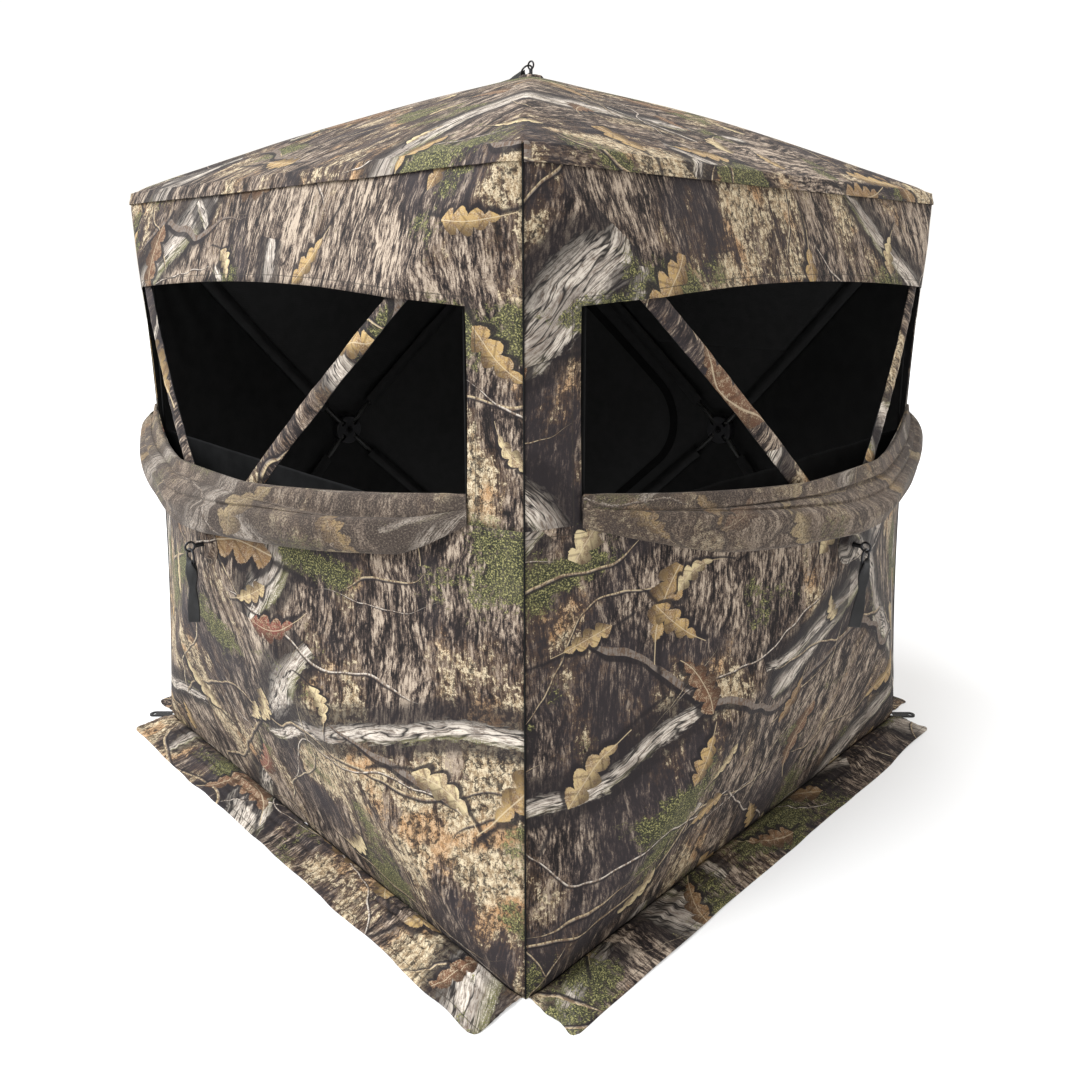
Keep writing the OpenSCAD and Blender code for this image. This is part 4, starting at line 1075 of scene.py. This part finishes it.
# webbing doubled round the ring: the path goes down one layer, round the end and back up the other;
# at the ring it is cupped to the wire's curve, and further on it twists about its own middle line
def strapPiece(face):
    twist, twistFrom, twistTo, curl = strapTwist[face]
    rows, bend = strap["rows"], strap["loopGap"]
    straight = strap["length"] - ringSize["wire"] - bend
    turnLength = math.pi * bend
    d = np.linspace(0, 1, rows, endpoint=False) * (2 * straight + 2 * turnLength)
    a1, a2 = (d - straight) / bend, (d - 2 * straight - turnLength) / bend
    stages = [d < straight, a1 < math.pi, a2 < 0]
    along = np.select(stages, [d, straight + bend * np.sin(a1), 2 * straight + turnLength - d], -bend * np.sin(a2))
    layer = np.select(stages, [np.ones(rows), np.cos(a1), -np.ones(rows)], -np.cos(a2))
    share = np.clip(along / straight, 0, 1)
    out = layer * (strap["sewnGap"] + (bend - strap["sewnGap"]) * (1 - smooth((share - 0.02) / 0.22)))

    # a flat cross-section of ten points, square to the path
    acrossShares = np.array([-1, -0.5, 0, 0.5, 1])
    side = np.concatenate([acrossShares, acrossShares[::-1]])[None, :]
    layerSide = np.repeat([-1.0, 1.0], 5)[None, :]
    px = side * np.interp(share, strap["places"], strap["halfWidths"])[:, None]
    wire = ringSize["ring"] / 2
    cup = (wire - np.sqrt(wire ** 2 - px ** 2)) * (1 - smooth(share / 0.35))[:, None]
    stepOut, stepAlong = np.gradient(along), -np.gradient(out)
    size = np.hypot(stepOut, stepAlong)
    o = out[:, None] + layerSide * strap["thick"] * (stepOut / size)[:, None]
    o = o + strap["cupped"] * (px / 0.0125) ** 2 * smooth((share - 0.5) / 0.3)[:, None]
    al = along[:, None] + layerSide * strap["thick"] * (stepAlong / size)[:, None] - cup
    angle = np.radians(twist) * smooth((share - twistFrom) / (twistTo - twistFrom))[:, None]
    x = px * np.cos(angle) - o * np.sin(angle)
    o = px * np.sin(angle) + o * np.cos(angle)
    x = x + curl * strap["curl"] * np.clip(al / straight, 0, 1) ** 2

    # the ring's far side, and how the strap leans from it
    lean, strapLean = (math.radians(ringSize[k]) if face == "roof" else 0.0 for k in ("roofLean", "strapLean"))
    ringY = -(ringSize["eye"] / 2 - ringSize["wire"] - ringSize["air"]) - ringSize["ring"] * math.cos(lean)
    ringZ = faceShapes[face]["bulge"] + ringSize["eyeReach"] - ringSize["ring"] * math.sin(lean)
    c, s = math.cos(strapLean), math.sin(strapLean)
    y, z = ringY - al * c - o * s, ringZ - al * s + o * c
    if face == "roof":
        x, y = y, -x
    piece = makePiece(face + "PullStrap", placed(face, x, y, z), gridFaces(rows, 10, wrapRows=True, wrapCols=True),
                      sideBySide(d[:, None], px))
    subdivide(piece, 1)
    piece.data.set_sharp_from_angle(angle=math.radians(50))
    dress(piece, [webbing])
    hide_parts(face + "_strap")
    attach(piece, face + "_strap")


for face in faceNames:
    strapPiece(face)
print("stage: covers and straps made")

patch = dict(hole=0.0062, crown=0.0275, foot=0.0360, rim=0.0430, high=0.0102, lift=0.0007, thick=0.0006)


# a cloth patch sewn over a hub's outer disc: flat over the disc, eased down to the wall round it
def patchPiece(face):
    seed = 400 + faceNames.index(face)
    flat = np.linspace(patch["hole"], patch["crown"], 12)
    r = np.concatenate([flat, np.linspace(patch["crown"], patch["rim"], 16)[1:]])[None, :]
    t = np.linspace(0, 2 * np.pi, 96, endpoint=False)[:, None]
    wrinkle = softNoise(t * 2.4, r * 60, 2.0, seed) * smooth((r - 0.012) / 0.01) * smooth((patch["rim"] - r) / 0.006)
    out = patch["lift"] + patch["high"] * (1 - smooth((r - patch["crown"]) / (patch["foot"] - patch["crown"])))
    out = out + 0.0007 * wrinkle
    x, y = r * np.cos(t), r * np.sin(t)
    ox, oy = printPlace[face]
    piece = makePiece(face + "HubPatch", placed(face, x, y, faceShapes[face]["bulge"] + out),
                      gridFaces(*x.shape, wrapRows=True)[:, ::-1], sideBySide(x + ox + 0.8, y + oy + 0.3),
                      attributes=dict(hem=np.broadcast_to(patch["rim"] - r + 0.009, x.shape)))
    thicken(piece, patch["thick"])
    dress(piece, [fabric])
    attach(piece, face + "_hub")


for face in faceNames:
    patchPiece(face)

# finishes of the solids that stay
for name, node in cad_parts.items():
    for ending, finish in (("_hub", moulding), ("_hub_hardware", steel), ("_ring", steel), ("corner_joints", moulding),
                           ("window_tracks", tape), ("door_zip", tape), ("stake_loops", webbing)):
        if name.endswith(ending):
            node.data.materials.clear()
            node.data.materials.append(finish)

# floor, light and camera
bpy.ops.mesh.primitive_plane_add(size=40)
floor = bpy.context.object
floor.name = "floor"
floor.data.materials.append(Net("whiteFloor").surface((0.5, 0.5, 0.5), 0.95, Emission_Color=(1, 1, 1, 1),
                                                      Emission_Strength=0.4))

world = bpy.data.worlds.new("studio")
bpy.context.scene.world = world
world.use_nodes = True
background = world.node_tree.nodes["Background"].inputs
background["Color"].default_value, background["Strength"].default_value = (1, 0.975, 0.945, 1), 1.07
lamp = bpy.data.lights.new("key", "SUN")
lamp.energy, lamp.angle, lamp.color = 5.9, 1.0, (0.935, 0.967, 1)
camera = placeInScene("camera", bpy.data.cameras.new("camera"))
camera.location = (1.7348, -1.6941, 1.2781)
camera.data.lens, camera.data.sensor_width, camera.data.shift_y = 30.33, 36, -0.0966
for thing, towards in ((placeInScene("key", lamp), (0.29, 0.59, -0.76)), (camera, (-0.6964, 0.6931, -0.1862))):
    thing.rotation_euler = Vector(towards).to_track_quat("-Z", "Y").to_euler()
bpy.context.scene.camera = camera
bpy.context.scene.view_settings.view_transform = "Standard"

print("stage: finished")
